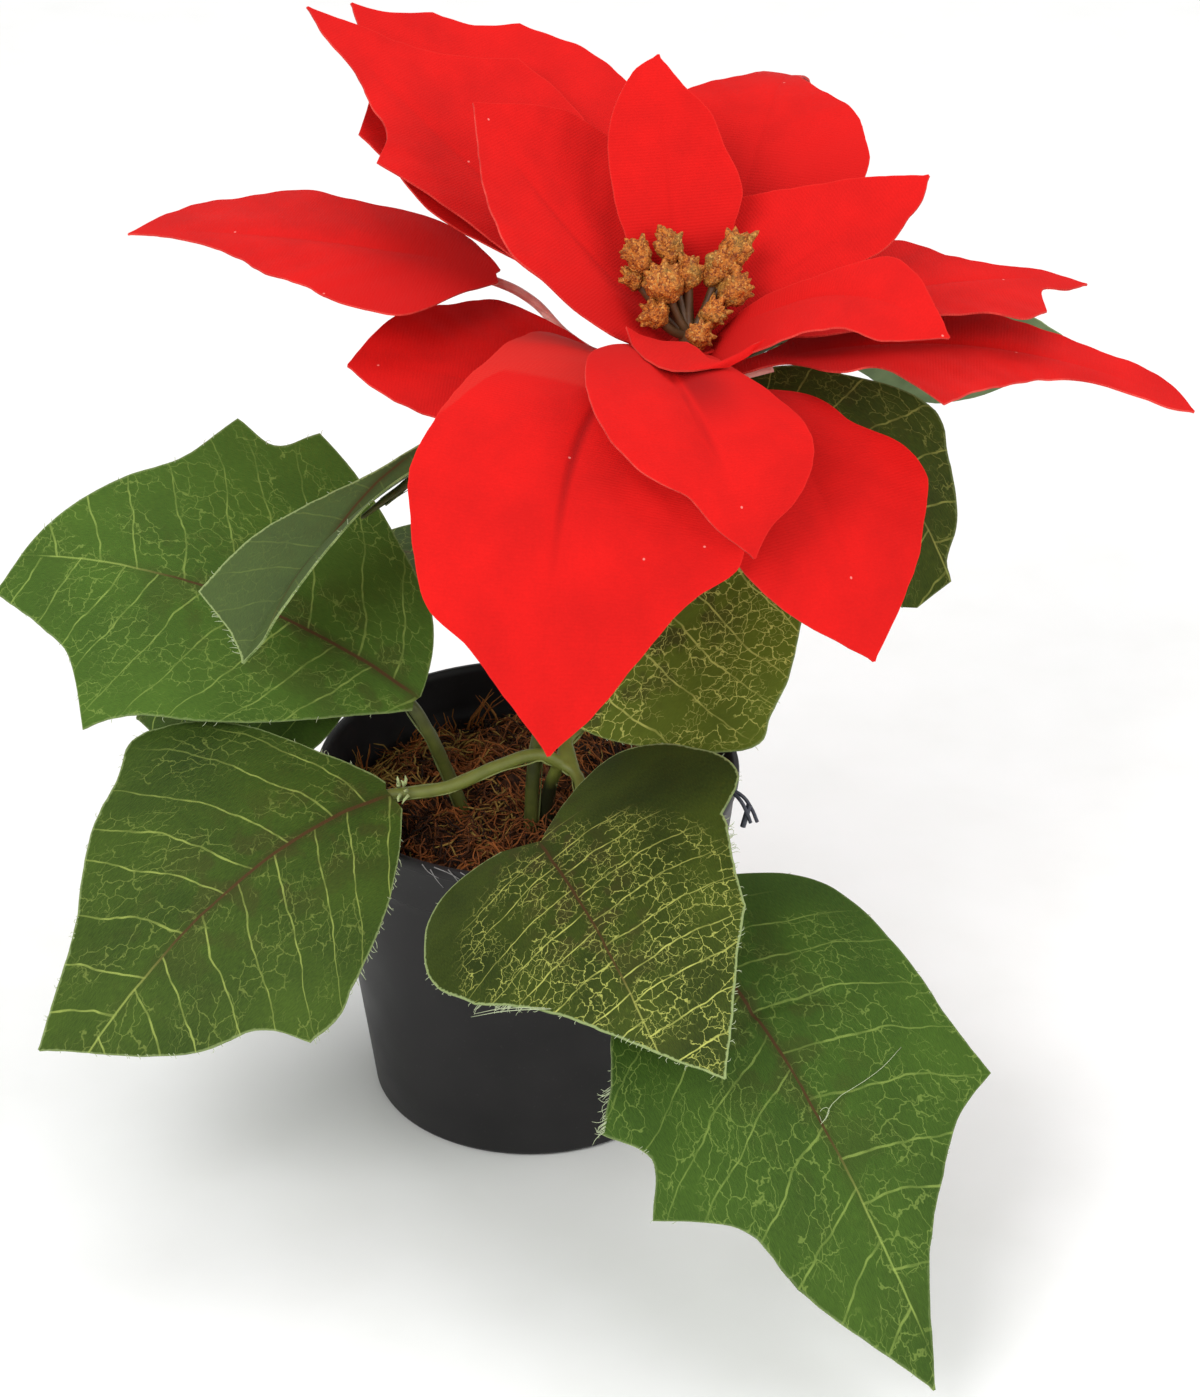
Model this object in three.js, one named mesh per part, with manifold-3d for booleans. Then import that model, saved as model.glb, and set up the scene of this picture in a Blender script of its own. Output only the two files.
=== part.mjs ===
// Artificial poinsettia in a small round nursery pot.
// Millimetres, +Z up, origin at the middle of the pot's base.
import * as THREE from 'three';
import { mergeVertices } from 'three/addons/utils/BufferGeometryUtils.js';
import Module from 'manifold-3d';

const wasm = await Module();
wasm.setup();

// Driving dimensions -----------------------------------------------------------
const POT_RIM_R = 50;          // outside of the rolled rim
const POT_HEIGHT = 87;
const POT_BASE_R = 38;
const POT_WALL = 1.2;
const POT_STEP_DROP = 14;      // height of the upper wall band below the rim
const FILL_TOP = 66;           // top of the weighted filling
const MOSS_TOP = 79;           // mean height of the moss in the middle
const CLEAR = 0.3;             // gap between pieces that touch
const BLADE = 0.7;             // thickness of every leaf and bract
const LEAF_SLANT = 12;         // degrees that the ribs of a blade lean forwards
const BASE_SLANT = -20;        // the same at the blade's base, where they fan back
const TIP_HALF_WIDTH = 0.5;    // a blade's tip is cut this blunt
const STEM_R = 1.7;
const BRANCH_R = 1.6;
const STALK_GAP = 0.4;         // from a blade's underside to the stalk under it
const STALK_R = 1.1;           // stalks under the bracts and leaves
const STALK_ENTRY = 0.02;      // share of the midrib where a stalk comes under its blade
const HUB = [37, -9, 190];     // middle of the hub that carries the bracts

// Colours ------------------------------------------------------------------------
const RED = 0xe02222;
const LEAF_GREEN = 0x42682a;
const STEM_GREEN = 0x64803f;
const STALK_PINK = 0xc9686a;
const BUD_GOLD = 0xb8782a;
const POT_BLACK = 0x2c2a2a;
const MOSS_BROWN = 0x6a3418;
const FILL_GREY = 0x8c8a84;

// Small helpers --------------------------------------------------------------------
const rad = THREE.MathUtils.degToRad;
const vec = (p) => new THREE.Vector3(...p);
const { clamp, lerp } = THREE.MathUtils;

function material(color, roughness = 0.8, metalness = 0) {
  return new THREE.MeshStandardMaterial({ color, roughness, metalness });
}

function merged(geometry) {
  const bare = geometry.clone();
  for (const name of Object.keys(bare.attributes)) {
    if (name !== 'position') bare.deleteAttribute(name);
  }
  return mergeVertices(bare, 1e-4);
}

function toSolid(geometry) {
  const bare = merged(geometry);
  return new wasm.Manifold(new wasm.Mesh({
    numProp: 3,
    vertProperties: new Float32Array(bare.attributes.position.array),
    triVerts: new Uint32Array(bare.index.array),
  }));
}

function toGeometry(solid) {
  const mesh = solid.getMesh();
  const geometry = new THREE.BufferGeometry();
  const places = new THREE.BufferAttribute(new Float32Array(mesh.vertProperties), 3);
  geometry.setAttribute('position', places);
  geometry.setIndex(new THREE.BufferAttribute(new Uint32Array(mesh.triVerts), 1));
  return geometry;
}

function fuse(geometries) {
  return geometries.map(toSolid).reduce((sum, next) => sum.add(next));
}

// A round bar along a smooth line through the given points.
function tube(points, radius, sides = 8, steps = 12) {
  const path = new THREE.CatmullRomCurve3(points.map(vec));
  const ring = new THREE.Shape(
    Array.from({ length: sides }, (_, i) => {
      const a = (2 * Math.PI * i) / sides;
      return new THREE.Vector2(radius * Math.cos(a), radius * Math.sin(a));
    }),
  );
  return new THREE.ExtrudeGeometry(ring, { steps, bevelEnabled: false, extrudePath: path });
}

// A solid turned about the Z axis from [radius, height] pairs.
function turned(profile, segments) {
  const geometry = new THREE.LatheGeometry(
    profile.map(([r, z]) => new THREE.Vector2(r, z)), segments);
  return geometry.rotateX(Math.PI / 2);
}

// Blades -------------------------------------------------------------------------
// A blade is a thin arched sheet round a midrib that runs from root to tip and bends
// towards crest. left and right give its half widths as [s, width] along the midrib,
// smooth through plain points and sharp where a third value marks a lobe's corner.
// roll turns the blade about its midrib, fold lifts both halves, cup curls them up.
function halfWidth(points, s) {
  const n = points.length;
  const slopeOf = (i) => (points[i + 1][1] - points[i][1]) / (points[i + 1][0] - points[i][0]);
  const slopeAt = (i, side) => {
    if (i === 0) return slopeOf(0);
    if (i === n - 1) return slopeOf(n - 2);
    if (points[i].length > 2) return side > 0 ? slopeOf(i) : slopeOf(i - 1);
    const before = points[i][0] - points[i - 1][0];
    const after = points[i + 1][0] - points[i][0];
    return (slopeOf(i - 1) * after + slopeOf(i) * before) / (before + after);
  };
  let i = 0;
  while (i < n - 2 && s > points[i + 1][0]) i += 1;
  const step = points[i + 1][0] - points[i][0];
  const q = (s - points[i][0]) / step;
  const value = (2 * q ** 3 - 3 * q ** 2 + 1) * points[i][1]
    + (q ** 3 - 2 * q ** 2 + q) * step * slopeAt(i, 1)
    + (3 * q ** 2 - 2 * q ** 3) * points[i + 1][1]
    + (q ** 3 - q ** 2) * step * slopeAt(i + 1, -1);
  return Math.max(value, TIP_HALF_WIDTH);
}

function midribLength(blade) {
  const curve = new THREE.QuadraticBezierCurve3(vec(blade.root), vec(blade.crest), vec(blade.tip));
  return curve.getLength();
}

// The frame of the midrib at u, which may run a little past the tip.
function midrib(blade, u) {
  const [a, b, c] = [vec(blade.root), vec(blade.crest), vec(blade.tip)];
  const place = a.clone().multiplyScalar((1 - u) ** 2)
    .addScaledVector(b, 2 * u * (1 - u)).addScaledVector(c, u * u);
  const along = b.clone().sub(a).multiplyScalar(1 - u)
    .addScaledVector(c.clone().sub(b), u).normalize();
  const side = new THREE.Vector3(-along.y, along.x, 0).normalize();
  const up = along.clone().cross(side);
  const roll = rad(blade.roll ?? 0);
  const across = side.clone().multiplyScalar(Math.cos(roll)).addScaledVector(up, Math.sin(roll));
  return { place, along, across, up: along.clone().cross(across) };
}

// The point of the blade at rib s and signed distance v from the midrib.
function bladePoint(blade, length, s, v) {
  const fan = clamp(s / 0.3, 0, 1);
  const slant = (blade.slant0 ?? BASE_SLANT) * (1 - fan) + LEAF_SLANT * fan;
  const out = Math.abs(v);
  const frame = midrib(blade, s + (out * Math.tan(rad(slant))) / length);
  const fold = rad(blade.fold ?? 0);
  const rise = out * Math.sin(fold) + (blade.cup ?? 0) * (out / 30) ** 2;
  return frame.place
    .addScaledVector(frame.across, v * Math.cos(fold))
    .addScaledVector(frame.up, rise);
}

const RIB_STEPS = [-1, -0.5, 0, 0.5, 1];
const ROW_GAP = 0.11;          // longest step between ribs, as a share of the length
const ROW_MERGE = 0.035;       // ribs closer than this are left out

function bladeRows(blade) {
  const marks = [...blade.left, ...blade.right].map((p) => p[0]).sort((p, q) => p - q);
  const corners = new Set([...blade.left, ...blade.right].filter((p) => p.length > 2).map((p) => p[0]));
  const rows = [];
  for (const s of marks) {
    const last = rows[rows.length - 1];
    if (last !== undefined && s - last < ROW_MERGE) {
      if (corners.has(s) || s === 1) rows[rows.length - 1] = s;
      continue;
    }
    if (last !== undefined && s - last > ROW_GAP) {
      const count = Math.ceil((s - last) / ROW_GAP);
      for (let k = 1; k < count; k += 1) rows.push(last + ((s - last) * k) / count);
    }
    rows.push(s);
  }
  return rows;
}

function bladeGeometry(blade) {
  const length = midribLength(blade);
  const rows = bladeRows(blade);
  const columns = RIB_STEPS.length;
  const at = (s, t) => {
    const w = t >= 0 ? halfWidth(blade.left, s) : halfWidth(blade.right, s);
    return bladePoint(blade, length, s, w * t);
  };
  const middle = rows.map((s) => RIB_STEPS.map((t) => at(s, t)));
  const normalAt = (i, j) => {
    const before = middle[Math.max(i - 1, 0)][j];
    const after = middle[Math.min(i + 1, rows.length - 1)][j];
    const low = middle[i][Math.max(j - 1, 0)];
    const high = middle[i][Math.min(j + 1, columns - 1)];
    return after.clone().sub(before).cross(high.clone().sub(low)).normalize();
  };
  const places = [];
  for (const face of [1, -1]) {
    middle.forEach((row, i) => row.forEach((point, j) => {
      const moved = point.clone().addScaledVector(normalAt(i, j), (face * BLADE) / 2);
      places.push(moved.x, moved.y, moved.z);
    }));
  }
  const under = rows.length * columns;
  const index = [];
  const at2 = (i, j) => i * columns + j;
  for (let i = 0; i < rows.length - 1; i += 1) {
    for (let j = 0; j < columns - 1; j += 1) {
      const [a, b, c, d] = [at2(i, j), at2(i + 1, j), at2(i + 1, j + 1), at2(i, j + 1)];
      index.push(a, b, c, a, c, d);
      index.push(under + a, under + c, under + b, under + a, under + d, under + c);
    }
  }
  const border = [];
  for (let i = 0; i < rows.length - 1; i += 1) border.push(at2(i, 0));
  for (let j = 0; j < columns - 1; j += 1) border.push(at2(rows.length - 1, j));
  for (let i = rows.length - 1; i > 0; i -= 1) border.push(at2(i, columns - 1));
  for (let j = columns - 1; j > 0; j -= 1) border.push(at2(0, j));
  border.forEach((a, k) => {
    const b = border[(k + 1) % border.length];
    index.push(a, under + b, b, a, under + a, under + b);
  });
  const geometry = new THREE.BufferGeometry();
  geometry.setAttribute('position', new THREE.Float32BufferAttribute(places, 3));
  geometry.setIndex(index);
  return geometry;
}

// The line of a stalk under a blade: from where it starts, to and along the midrib.
function stalkLine(blade, start, reach = 0.25, radius = STALK_R) {
  const drop = BLADE / 2 + STALK_GAP + radius;
  const line = start.map((p) => [...p]);
  for (const u of [STALK_ENTRY, reach / 2, reach]) {
    const frame = midrib(blade, u);
    const p = frame.place.addScaledVector(frame.up, -drop);
    line.push([p.x, p.y, p.z]);
  }
  return line;
}

const LEAVES = [
  { name: 'leaf_left_upper', cup: -1.5,
    root: [-26, -12, 111], crest: [-75, 2, 138], tip: [-123, 10, 129], roll: -42,
    left: [[0, 2], [0.08, 8], [0.28, 23], [0.6, 31], [0.66, 34, 1], [0.76, 18], [0.87, 10], [1, 2]],
    right: [[0, 2], [0.08, 18], [0.19, 33], [0.3, 50, 1], [0.385, 43.5], [0.46, 48, 1], [0.55, 37],
      [0.71, 27], [0.89, 13], [1, 0]] },
  { name: 'leaf_folded', root: [-22, -7, 169.7], crest: [-50.5, -18, 157.7], tip: [-62.5, -38, 136],
    roll: 10, fold: 26,
    left: [[0, 6], [0.18, 11], [0.32, 14], [0.5, 13], [0.66, 10.5], [0.8, 7], [0.9, 5.5], [1, 0]],
    right: [[0, 6.5], [0.18, 6.5], [0.34, 10], [0.55, 14.5], [0.78, 17, 1], [0.87, 8], [0.95, 2.5],
      [1, 0]] },
  { name: 'leaf_left_lower', cup: -1.5,
    root: [-32, -30, 98], crest: [-72, -48, 98], tip: [-109, -75, 57], roll: -25,
    left: [[0, 6], [0.18, 31], [0.35, 45], [0.48, 46, 1], [0.54, 39], [0.74, 29], [0.84, 20], [1, 0]],
    right: [[0, 2], [0.13, 15], [0.3, 40], [0.36, 41], [0.44, 35], [0.55, 29], [0.77, 12], [1, 0]] },
  { name: 'leaf_front', cup: -1.5,
    root: [4, -50.5, 97], crest: [22, -88.5, 105], tip: [43.5, -125.5, 85], roll: 25,
    slant0: -45,
    left: [[0, 2], [0.04, 23], [0.107, 36.2], [0.156, 40.3], [0.2, 43.2], [0.24, 42], [0.28, 33, 1],
      [0.354, 30.4], [0.475, 26.5], [0.57, 24, 1], [0.68, 17.5], [0.85, 8.5], [1, 0]],
    right: [[0, 8], [0.07, 25], [0.155, 36], [0.22, 40], [0.3, 36], [0.44, 28], [0.71, 15.5],
      [0.92, 5], [1, 0]] },
  { name: 'leaf_right_lower', cup: -1.5,
    root: [37, -60, 88], crest: [62, -100, 82], tip: [89, -145, 17], roll: 0,
    left: [[0, 12], [0.07, 26], [0.26, 38], [0.44, 41], [0.52, 44, 1], [0.58, 33], [0.69, 21],
      [0.79, 12], [1, 0]],
    right: [[0, 10], [0.15, 27], [0.26, 38], [0.37, 48.5, 1], [0.46, 41], [0.55, 46.5, 1], [0.63, 31],
      [0.78, 21.5], [1, 0]] },
  { name: 'leaf_center_right', cup: 1,
    root: [12, -12, 106], crest: [42, -8, 138], tip: [70, 0, 152], roll: 40,
    left: [[0, 2], [0.15, 18], [0.35, 28], [0.5, 26], [0.75, 13], [1, 0]],
    right: [[0, 2], [0.12, 15.5], [0.22, 28], [0.28, 34], [0.37, 31], [0.51, 26], [0.62, 20],
      [0.8, 9], [1, 0]] },
  { name: 'leaf_behind_right', cup: 1.5,
    root: [47, -2, 183], crest: [75, 4, 178], tip: [86, -14, 137], roll: 25,
    left: [[0, 3], [0.1, 9], [0.3, 19], [0.52, 28], [0.61, 24], [0.8, 17], [0.88, 12.5],
      [0.93, 12, 1], [1, 3]],
    right: [[0, 3], [0.2, 15], [0.5, 22], [0.75, 13], [1, 0]] },
  { name: 'leaf_far_right', cup: 2,
    root: [54, 12, 192], crest: [90, 28, 195], tip: [129, 36, 177], roll: -70,
    left: [[0, 3], [0.2, 10], [0.5, 25], [0.62, 26], [0.71, 23], [0.89, 11], [1, 0]],
    right: [[0, 3], [0.3, 8], [0.6, 9], [0.8, 6], [1, 1]] },
  { name: 'leaf_behind_left', cup: 2,
    root: [8, 8, 126], crest: [-20, 38, 128], tip: [-50, 64, 110], roll: -6,
    left: [[0, 3], [0.2, 13.5], [0.45, 24], [0.7, 19], [0.8, 14.5, 1], [1, 0]],
    right: [[0, 2], [0.2, 12.5], [0.4, 20], [0.6, 21, 1], [0.7, 14], [1, 0]] },
  { name: 'leaf_back_left', cup: -1.5,
    root: [-42, 9, 104], crest: [-68, 20, 110], tip: [-95, 26, 84], roll: -30,
    left: [[0, 8], [0.05, 17], [0.15, 24], [0.4, 30], [0.62, 31, 1], [0.7, 21], [0.85, 12], [1, 0]],
    right: [[0, 3], [0.2, 17], [0.4, 27], [0.65, 21], [0.85, 10], [1, 0]] },
];

const OUTER_BRACTS = [
  { name: 'outer_bract_back_left', cup: 1.5,
    root: [31, -1, 198], crest: [-8, 32, 222], tip: [-50, 60, 253],
    left: [[0, 3], [0.15, 11], [0.3, 14.5], [0.42, 16.5], [0.52, 20], [0.59, 23, 1], [0.65, 13.5],
      [0.74, 9], [0.82, 5], [0.93, 3], [1, 0]],
    right: [[0, 3], [0.2, 20], [0.35, 32], [0.51, 37], [0.62, 36, 1], [0.71, 24], [0.79, 16],
      [0.91, 7], [1, 0]] },
  { name: 'outer_bract_back_left_rear', cup: 1.5,
    root: [33, 3, 196], crest: [-2, 49, 218], tip: [-41, 78, 247],
    left: [[0, 3], [0.1, 4], [0.2, 13], [0.41, 29], [0.57, 29], [0.65, 29.5, 1], [0.75, 18], [0.88, 8],
      [1, 0]],
    right: [[0, 3], [0.1, 6], [0.2, 18], [0.4, 40], [0.59, 43], [0.73, 34, 1], [0.78, 25], [0.87, 17, 1],
      [0.93, 7], [1, 0]] },
  { name: 'outer_bract_back_right', cup: -1,
    root: [42.4, 6, 194.8], crest: [59, 61, 263], tip: [67, 88, 214],
    left: [[0, 3], [0.1, 5], [0.2, 15], [0.32, 22], [0.42, 22], [0.52, 15], [0.6, 9], [0.8, 6],
      [1, 0]],
    right: [[0, 3], [0.1, 8], [0.18, 20], [0.26, 26.5], [0.35, 24], [0.45, 19], [0.54, 10], [0.63, 4],
      [0.8, 3], [1, 0]] },
  { name: 'outer_bract_right', cup: 1.5,
    root: [44, -3, 198], crest: [90, 8, 214], tip: [126.5, 12, 205.5],
    left: [[0, 3], [0.1, 5], [0.2, 12], [0.33, 22], [0.44, 23.5], [0.5, 20.5], [0.6, 12.5], [0.7, 7.5],
      [0.86, 5, 1], [0.94, 2], [1, 0]],
    right: [[0, 3], [0.1, 5], [0.2, 12], [0.35, 17], [0.49, 17.5], [0.6, 19], [0.67, 23.5], [0.77, 19, 1],
      [0.81, 9], [0.92, 4.5], [1, 0]] },
  { name: 'outer_bract_right_front', cup: 1.5,
    root: [46.5, -8.5, 194], crest: [100, -4, 210], tip: [148.5, -16, 187.5],
    left: [[0, 3], [0.1, 5], [0.2, 14], [0.4, 19], [0.58, 14], [0.66, 12], [0.74, 10], [0.88, 8.5],
      [0.95, 5], [1, 0]],
    right: [[0, 3], [0.12, 4], [0.2, 12], [0.3, 15], [0.335, 24], [0.37, 34.5, 1], [0.45, 27], [0.55, 19.5],
      [0.63, 13], [0.73, 7.5], [0.88, 5], [0.96, 3], [1, 0]] },
  { name: 'outer_bract_front_right', cup: -1.5,
    root: [42, -16, 191], crest: [66, -42, 200], tip: [76, -66, 152.5],
    left: [[0, 3], [0.11, 10], [0.19, 15.5], [0.34, 18.5], [0.43, 25], [0.51, 27], [0.67, 21],
      [0.77, 16], [0.89, 8], [1, 0]],
    right: [[0, 3], [0.2, 16], [0.4, 26], [0.55, 27.5], [0.64, 25.5], [0.75, 21], [0.83, 16],
      [0.95, 5], [1, 0]] },
  { name: 'outer_bract_front', cup: -1.5,
    root: [34.8, -14.4, 193], crest: [4, -60, 233], tip: [6, -78, 136], roll: -8,
    slant0: -35,
    left: [[0, 4], [0.2, 18], [0.4, 33], [0.55, 39], [0.66, 38], [0.72, 31], [0.85, 19], [0.95, 8],
      [1, 0]],
    right: [[0, 9], [0.1, 29.5], [0.21, 28.5], [0.29, 28], [0.39, 30], [0.47, 32], [0.57, 34],
      [0.64, 32], [0.71, 29.5], [0.78, 25.5], [0.83, 18], [0.9, 10.5], [1, 0]] },
  { name: 'outer_bract_left_front', cup: -2,
    root: [30, -12, 185], crest: [-2, -10, 193], tip: [-39, -8, 195], roll: -10,
    left: [[0, 3], [0.3, 14], [0.5, 17], [0.67, 15], [0.8, 11], [0.92, 5.5], [1, 0]],
    right: [[0, 3], [0.15, 10], [0.3, 27], [0.47, 35], [0.63, 30], [0.81, 22.5], [0.9, 13.5], [1, 0]] },
  { name: 'outer_bract_left', cup: -2,
    root: [-6.5, 17, 206], crest: [-46.5, 24, 216], tip: [-91.5, 38.5, 206],
    left: [[0, 4], [0.09, 13.5], [0.19, 28.5], [0.24, 28.5], [0.4, 22.5], [0.53, 18.5], [0.61, 13.5],
      [0.75, 7.5], [0.87, 3], [1, 0]],
    right: [[0, 2], [0.07, 8.5], [0.16, 16.5], [0.24, 21.5], [0.43, 25.5], [0.6, 29.5], [0.72, 24],
      [0.86, 18.5], [0.91, 13], [1, 0]] },
];

const INNER_BRACTS = [
  { cup: 2, root: [36, -6, 202], crest: [32, 8, 232], tip: [30, 26, 255],
    left: [[0, 3], [0.15, 8], [0.3, 11], [0.5, 13], [0.63, 13], [0.83, 9], [0.95, 4], [1, 0]],
    right: [[0, 3], [0.15, 9], [0.32, 14], [0.4, 16], [0.6, 13], [0.75, 10], [0.84, 6], [1, 0]] },
  { cup: 2, root: [33, -8, 202], crest: [8, 4, 222], tip: [-11, 20, 246],
    left: [[0, 3], [0.1, 13], [0.2, 18], [0.37, 20.5], [0.45, 22], [0.55, 19], [0.69, 14],
      [0.84, 7], [1, 0]],
    right: [[0, 3], [0.2, 15], [0.4, 26], [0.53, 29], [0.68, 25.5], [0.77, 22], [0.87, 14], [1, 0]] },
  { cup: 2, root: [40, -7, 202], crest: [62, 4, 216], tip: [90, 12, 232], roll: 25,
    left: [[0, 3], [0.15, 14], [0.28, 21], [0.37, 22], [0.44, 20], [0.59, 15.5], [0.72, 11.5],
      [0.9, 4.5], [1, 0]],
    right: [[0, 3], [0.15, 3], [0.35, 6], [0.57, 9], [0.73, 9.5], [0.82, 7], [0.92, 4.5], [1, 0]] },
  { cup: 2.5, root: [41, -13, 201], crest: [66, -25, 234], tip: [91.6, -38, 216], roll: 20,
    left: [[0, 3], [0.14, 5], [0.42, 6], [0.54, 9], [0.62, 12], [0.7, 11], [0.77, 9], [0.88, 4.5],
      [0.95, 2], [1, 0]],
    right: [[0, 3], [0.1, 12], [0.27, 16.5], [0.45, 14], [0.6, 11.5], [0.8, 10.5], [0.92, 5], [1, 0]] },
  { cup: -1, root: [36, -16, 202], crest: [42, -58, 223], tip: [49.5, -74, 182], roll: -12,
    left: [[0, 3], [0.24, 7], [0.38, 12.5], [0.49, 17.5], [0.63, 19.5], [0.75, 17], [0.84, 12.5],
      [0.93, 4.5], [1, 0]],
    right: [[0, 6], [0.14, 18], [0.25, 26], [0.4, 29], [0.58, 26.5], [0.69, 21], [0.79, 12.5],
      [0.87, 9], [1, 0]] },
];

const plant = new THREE.Group();

function add(name, geometry, look) {
  const mesh = new THREE.Mesh(geometry, look);
  mesh.name = name;
  plant.add(mesh);
  return mesh;
}

const bladeNamed = Object.fromEntries([...LEAVES, ...OUTER_BRACTS].map((b) => [b.name, b]));

// Pot, weighted filling and moss ------------------------------------------------------
const STEP_Z = POT_HEIGHT - POT_STEP_DROP;
const STEP_R = 48;             // outside of the wall just above the step
const STEP_FOOT_R = 47.3;      // the same just below it
const LIP_DROP = 3;            // height of the rolled rim
const POT_FLOOR = 2;
const POT_SIDES = 44;

function innerRadius(z) {
  const share = (z - POT_FLOOR) / (STEP_Z - POT_FLOOR);
  return lerp(POT_BASE_R, STEP_FOOT_R, share) - POT_WALL;
}

const potProfile = [
  [0, 0], [POT_BASE_R - 1.5, 0], [POT_BASE_R, 1.5], [STEP_FOOT_R, STEP_Z - 1], [STEP_R, STEP_Z],
  [POT_RIM_R - 0.8, POT_HEIGHT - LIP_DROP], [POT_RIM_R, POT_HEIGHT - LIP_DROP + 0.3],
  [POT_RIM_R, POT_HEIGHT - 0.5], [POT_RIM_R - 0.5, POT_HEIGHT], [POT_RIM_R - 1.5, POT_HEIGHT],
  [STEP_R - POT_WALL + 0.6, STEP_Z + 4], [innerRadius(STEP_Z), STEP_Z], [innerRadius(POT_FLOOR), POT_FLOOR],
  [0, POT_FLOOR],
];
add('pot', turned(potProfile, POT_SIDES), material(POT_BLACK, 0.5));

// Stems ---------------------------------------------------------------------------------
const STEM_FOOT = 40;          // depth that the stems are set into the filling
const FLOWER_STEM = [[0.9, -17.5, STEM_FOOT], [0.9, -17.5, 60], [0.9, -17.5, 80], [2.3, -16.5, 100],
  [12, -12, 138], [26, -10, 165], [36.4, -9, 176], [37, -9, 181]];
const BRANCH_STEM = [[4.1, -15.3, STEM_FOOT], [4.1, -15.3, 60], [4.1, -15.3, 80], [5.4, -17.2, 91],
  [7.6, -20, 99]];
const LEFT_STALK = [[-15.4, -8, STEM_FOOT], [-15.4, -8, 60], [-15.4, -8, 79], [-18.2, -8.4, 88],
  [-22.5, -10.4, 101]];
const BACK_STALK = [[-25, -10.3, 107], [-28, -5, 106.3], [-32, 0, 104], [-36.5, 5.5, 101.8]];
const JOINT = [8, -20.4, 99.5];   // where the lower leaf stalks meet
const JOINT_R = 2.3;
const FRONT_ARM = [[11.5, -23, 98], [13.5, -33, 95]];
const HUB_TOP = 200.7;

function stalk(name, start, reach, radius = STALK_R) {
  return tube(stalkLine(bladeNamed[name], start, reach, radius), radius, 6, 8);
}

function ball(center, radius) {
  return new THREE.IcosahedronGeometry(radius, 1).translate(...center);
}

const stems = {
  flower_stem: [
    tube(FLOWER_STEM, STEM_R, 8, 16),
    stalk('leaf_folded', [[12, -12, 138], [2, -8.5, 152], [-11, -7, 162.5]], 0.3),
    stalk('leaf_behind_right', [[29, -9.8, 168.3], [38, -6, 175]], 0.2),
    stalk('leaf_far_right', [[33.5, -9.3, 172.8], [40, 2, 182]], 0.2),
    stalk('leaf_behind_left', [[3.3, -16, 104], [5.5, -9, 113], [7.5, 0, 120.5]], 0.25),
  ],
  leaf_branch: [
    tube(BRANCH_STEM, BRANCH_R, 8, 12),
    ball(JOINT, JOINT_R),
    stalk('leaf_left_lower', [JOINT, [3.2, -21, 102], [-5.9, -24, 101], [-18, -28, 97.5]], 0.3, BRANCH_R),
    stalk('leaf_front', [JOINT, ...FRONT_ARM, [9, -45, 94]], 0.25),
    stalk('leaf_right_lower', [JOINT, ...FRONT_ARM, [22, -41, 93], [30, -50, 90]], 0.25),
    stalk('leaf_center_right', [JOINT, [9.2, -15, 101.5], [12, -10.5, 102.5]], 0.3),
  ],
  left_leaf_stalk: [
    tube(stalkLine(bladeNamed.leaf_left_upper, LEFT_STALK, 0.3, BRANCH_R), BRANCH_R, 8, 16),
    stalk('leaf_back_left', BACK_STALK, 0.3),
  ],
};
const stemLook = material(STEM_GREEN, 0.6);
for (const [name, pieces] of Object.entries(stems)) add(name, toGeometry(fuse(pieces)), stemLook);

// Each stem stands in a plain hole of its own shape, a little wider than the stem.
const holes = fuse([
  tube(FLOWER_STEM.slice(0, 4), STEM_R + CLEAR, 8, 8),
  tube(BRANCH_STEM.slice(0, 4), BRANCH_R + CLEAR, 8, 8),
  tube(LEFT_STALK.slice(0, 4), BRANCH_R + CLEAR, 8, 8),
]);

const FILL_SIDES = 40;
const FILL_GAP = 0.5;          // from the pot's inner wall to the filling and the moss
const MOSS_SHOULDER = 6;       // height over the filling at which the moss is widest
const filling = toSolid(turned([
  [0, POT_FLOOR + CLEAR], [innerRadius(POT_FLOOR) - FILL_GAP, POT_FLOOR + CLEAR],
  [innerRadius(FILL_TOP) - FILL_GAP, FILL_TOP], [0, FILL_TOP],
], FILL_SIDES));
add('pot_filling', toGeometry(filling.subtract(holes)), material(FILL_GREY, 0.95));

// A pad of moss whose top is lumpy: higher in front, lower along the back wall.
const MOSS_RINGS = 7;
function mossTop(x, y, share) {
  const lumps = 1.6 * Math.sin(0.31 * x + 1.3) * Math.cos(0.27 * y) + 1.1 * Math.sin(0.55 * x - 0.43 * y);
  return MOSS_TOP - 0.05 * y - 5 * share ** 4 + lumps * (1 - 0.5 * share);
}

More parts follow.
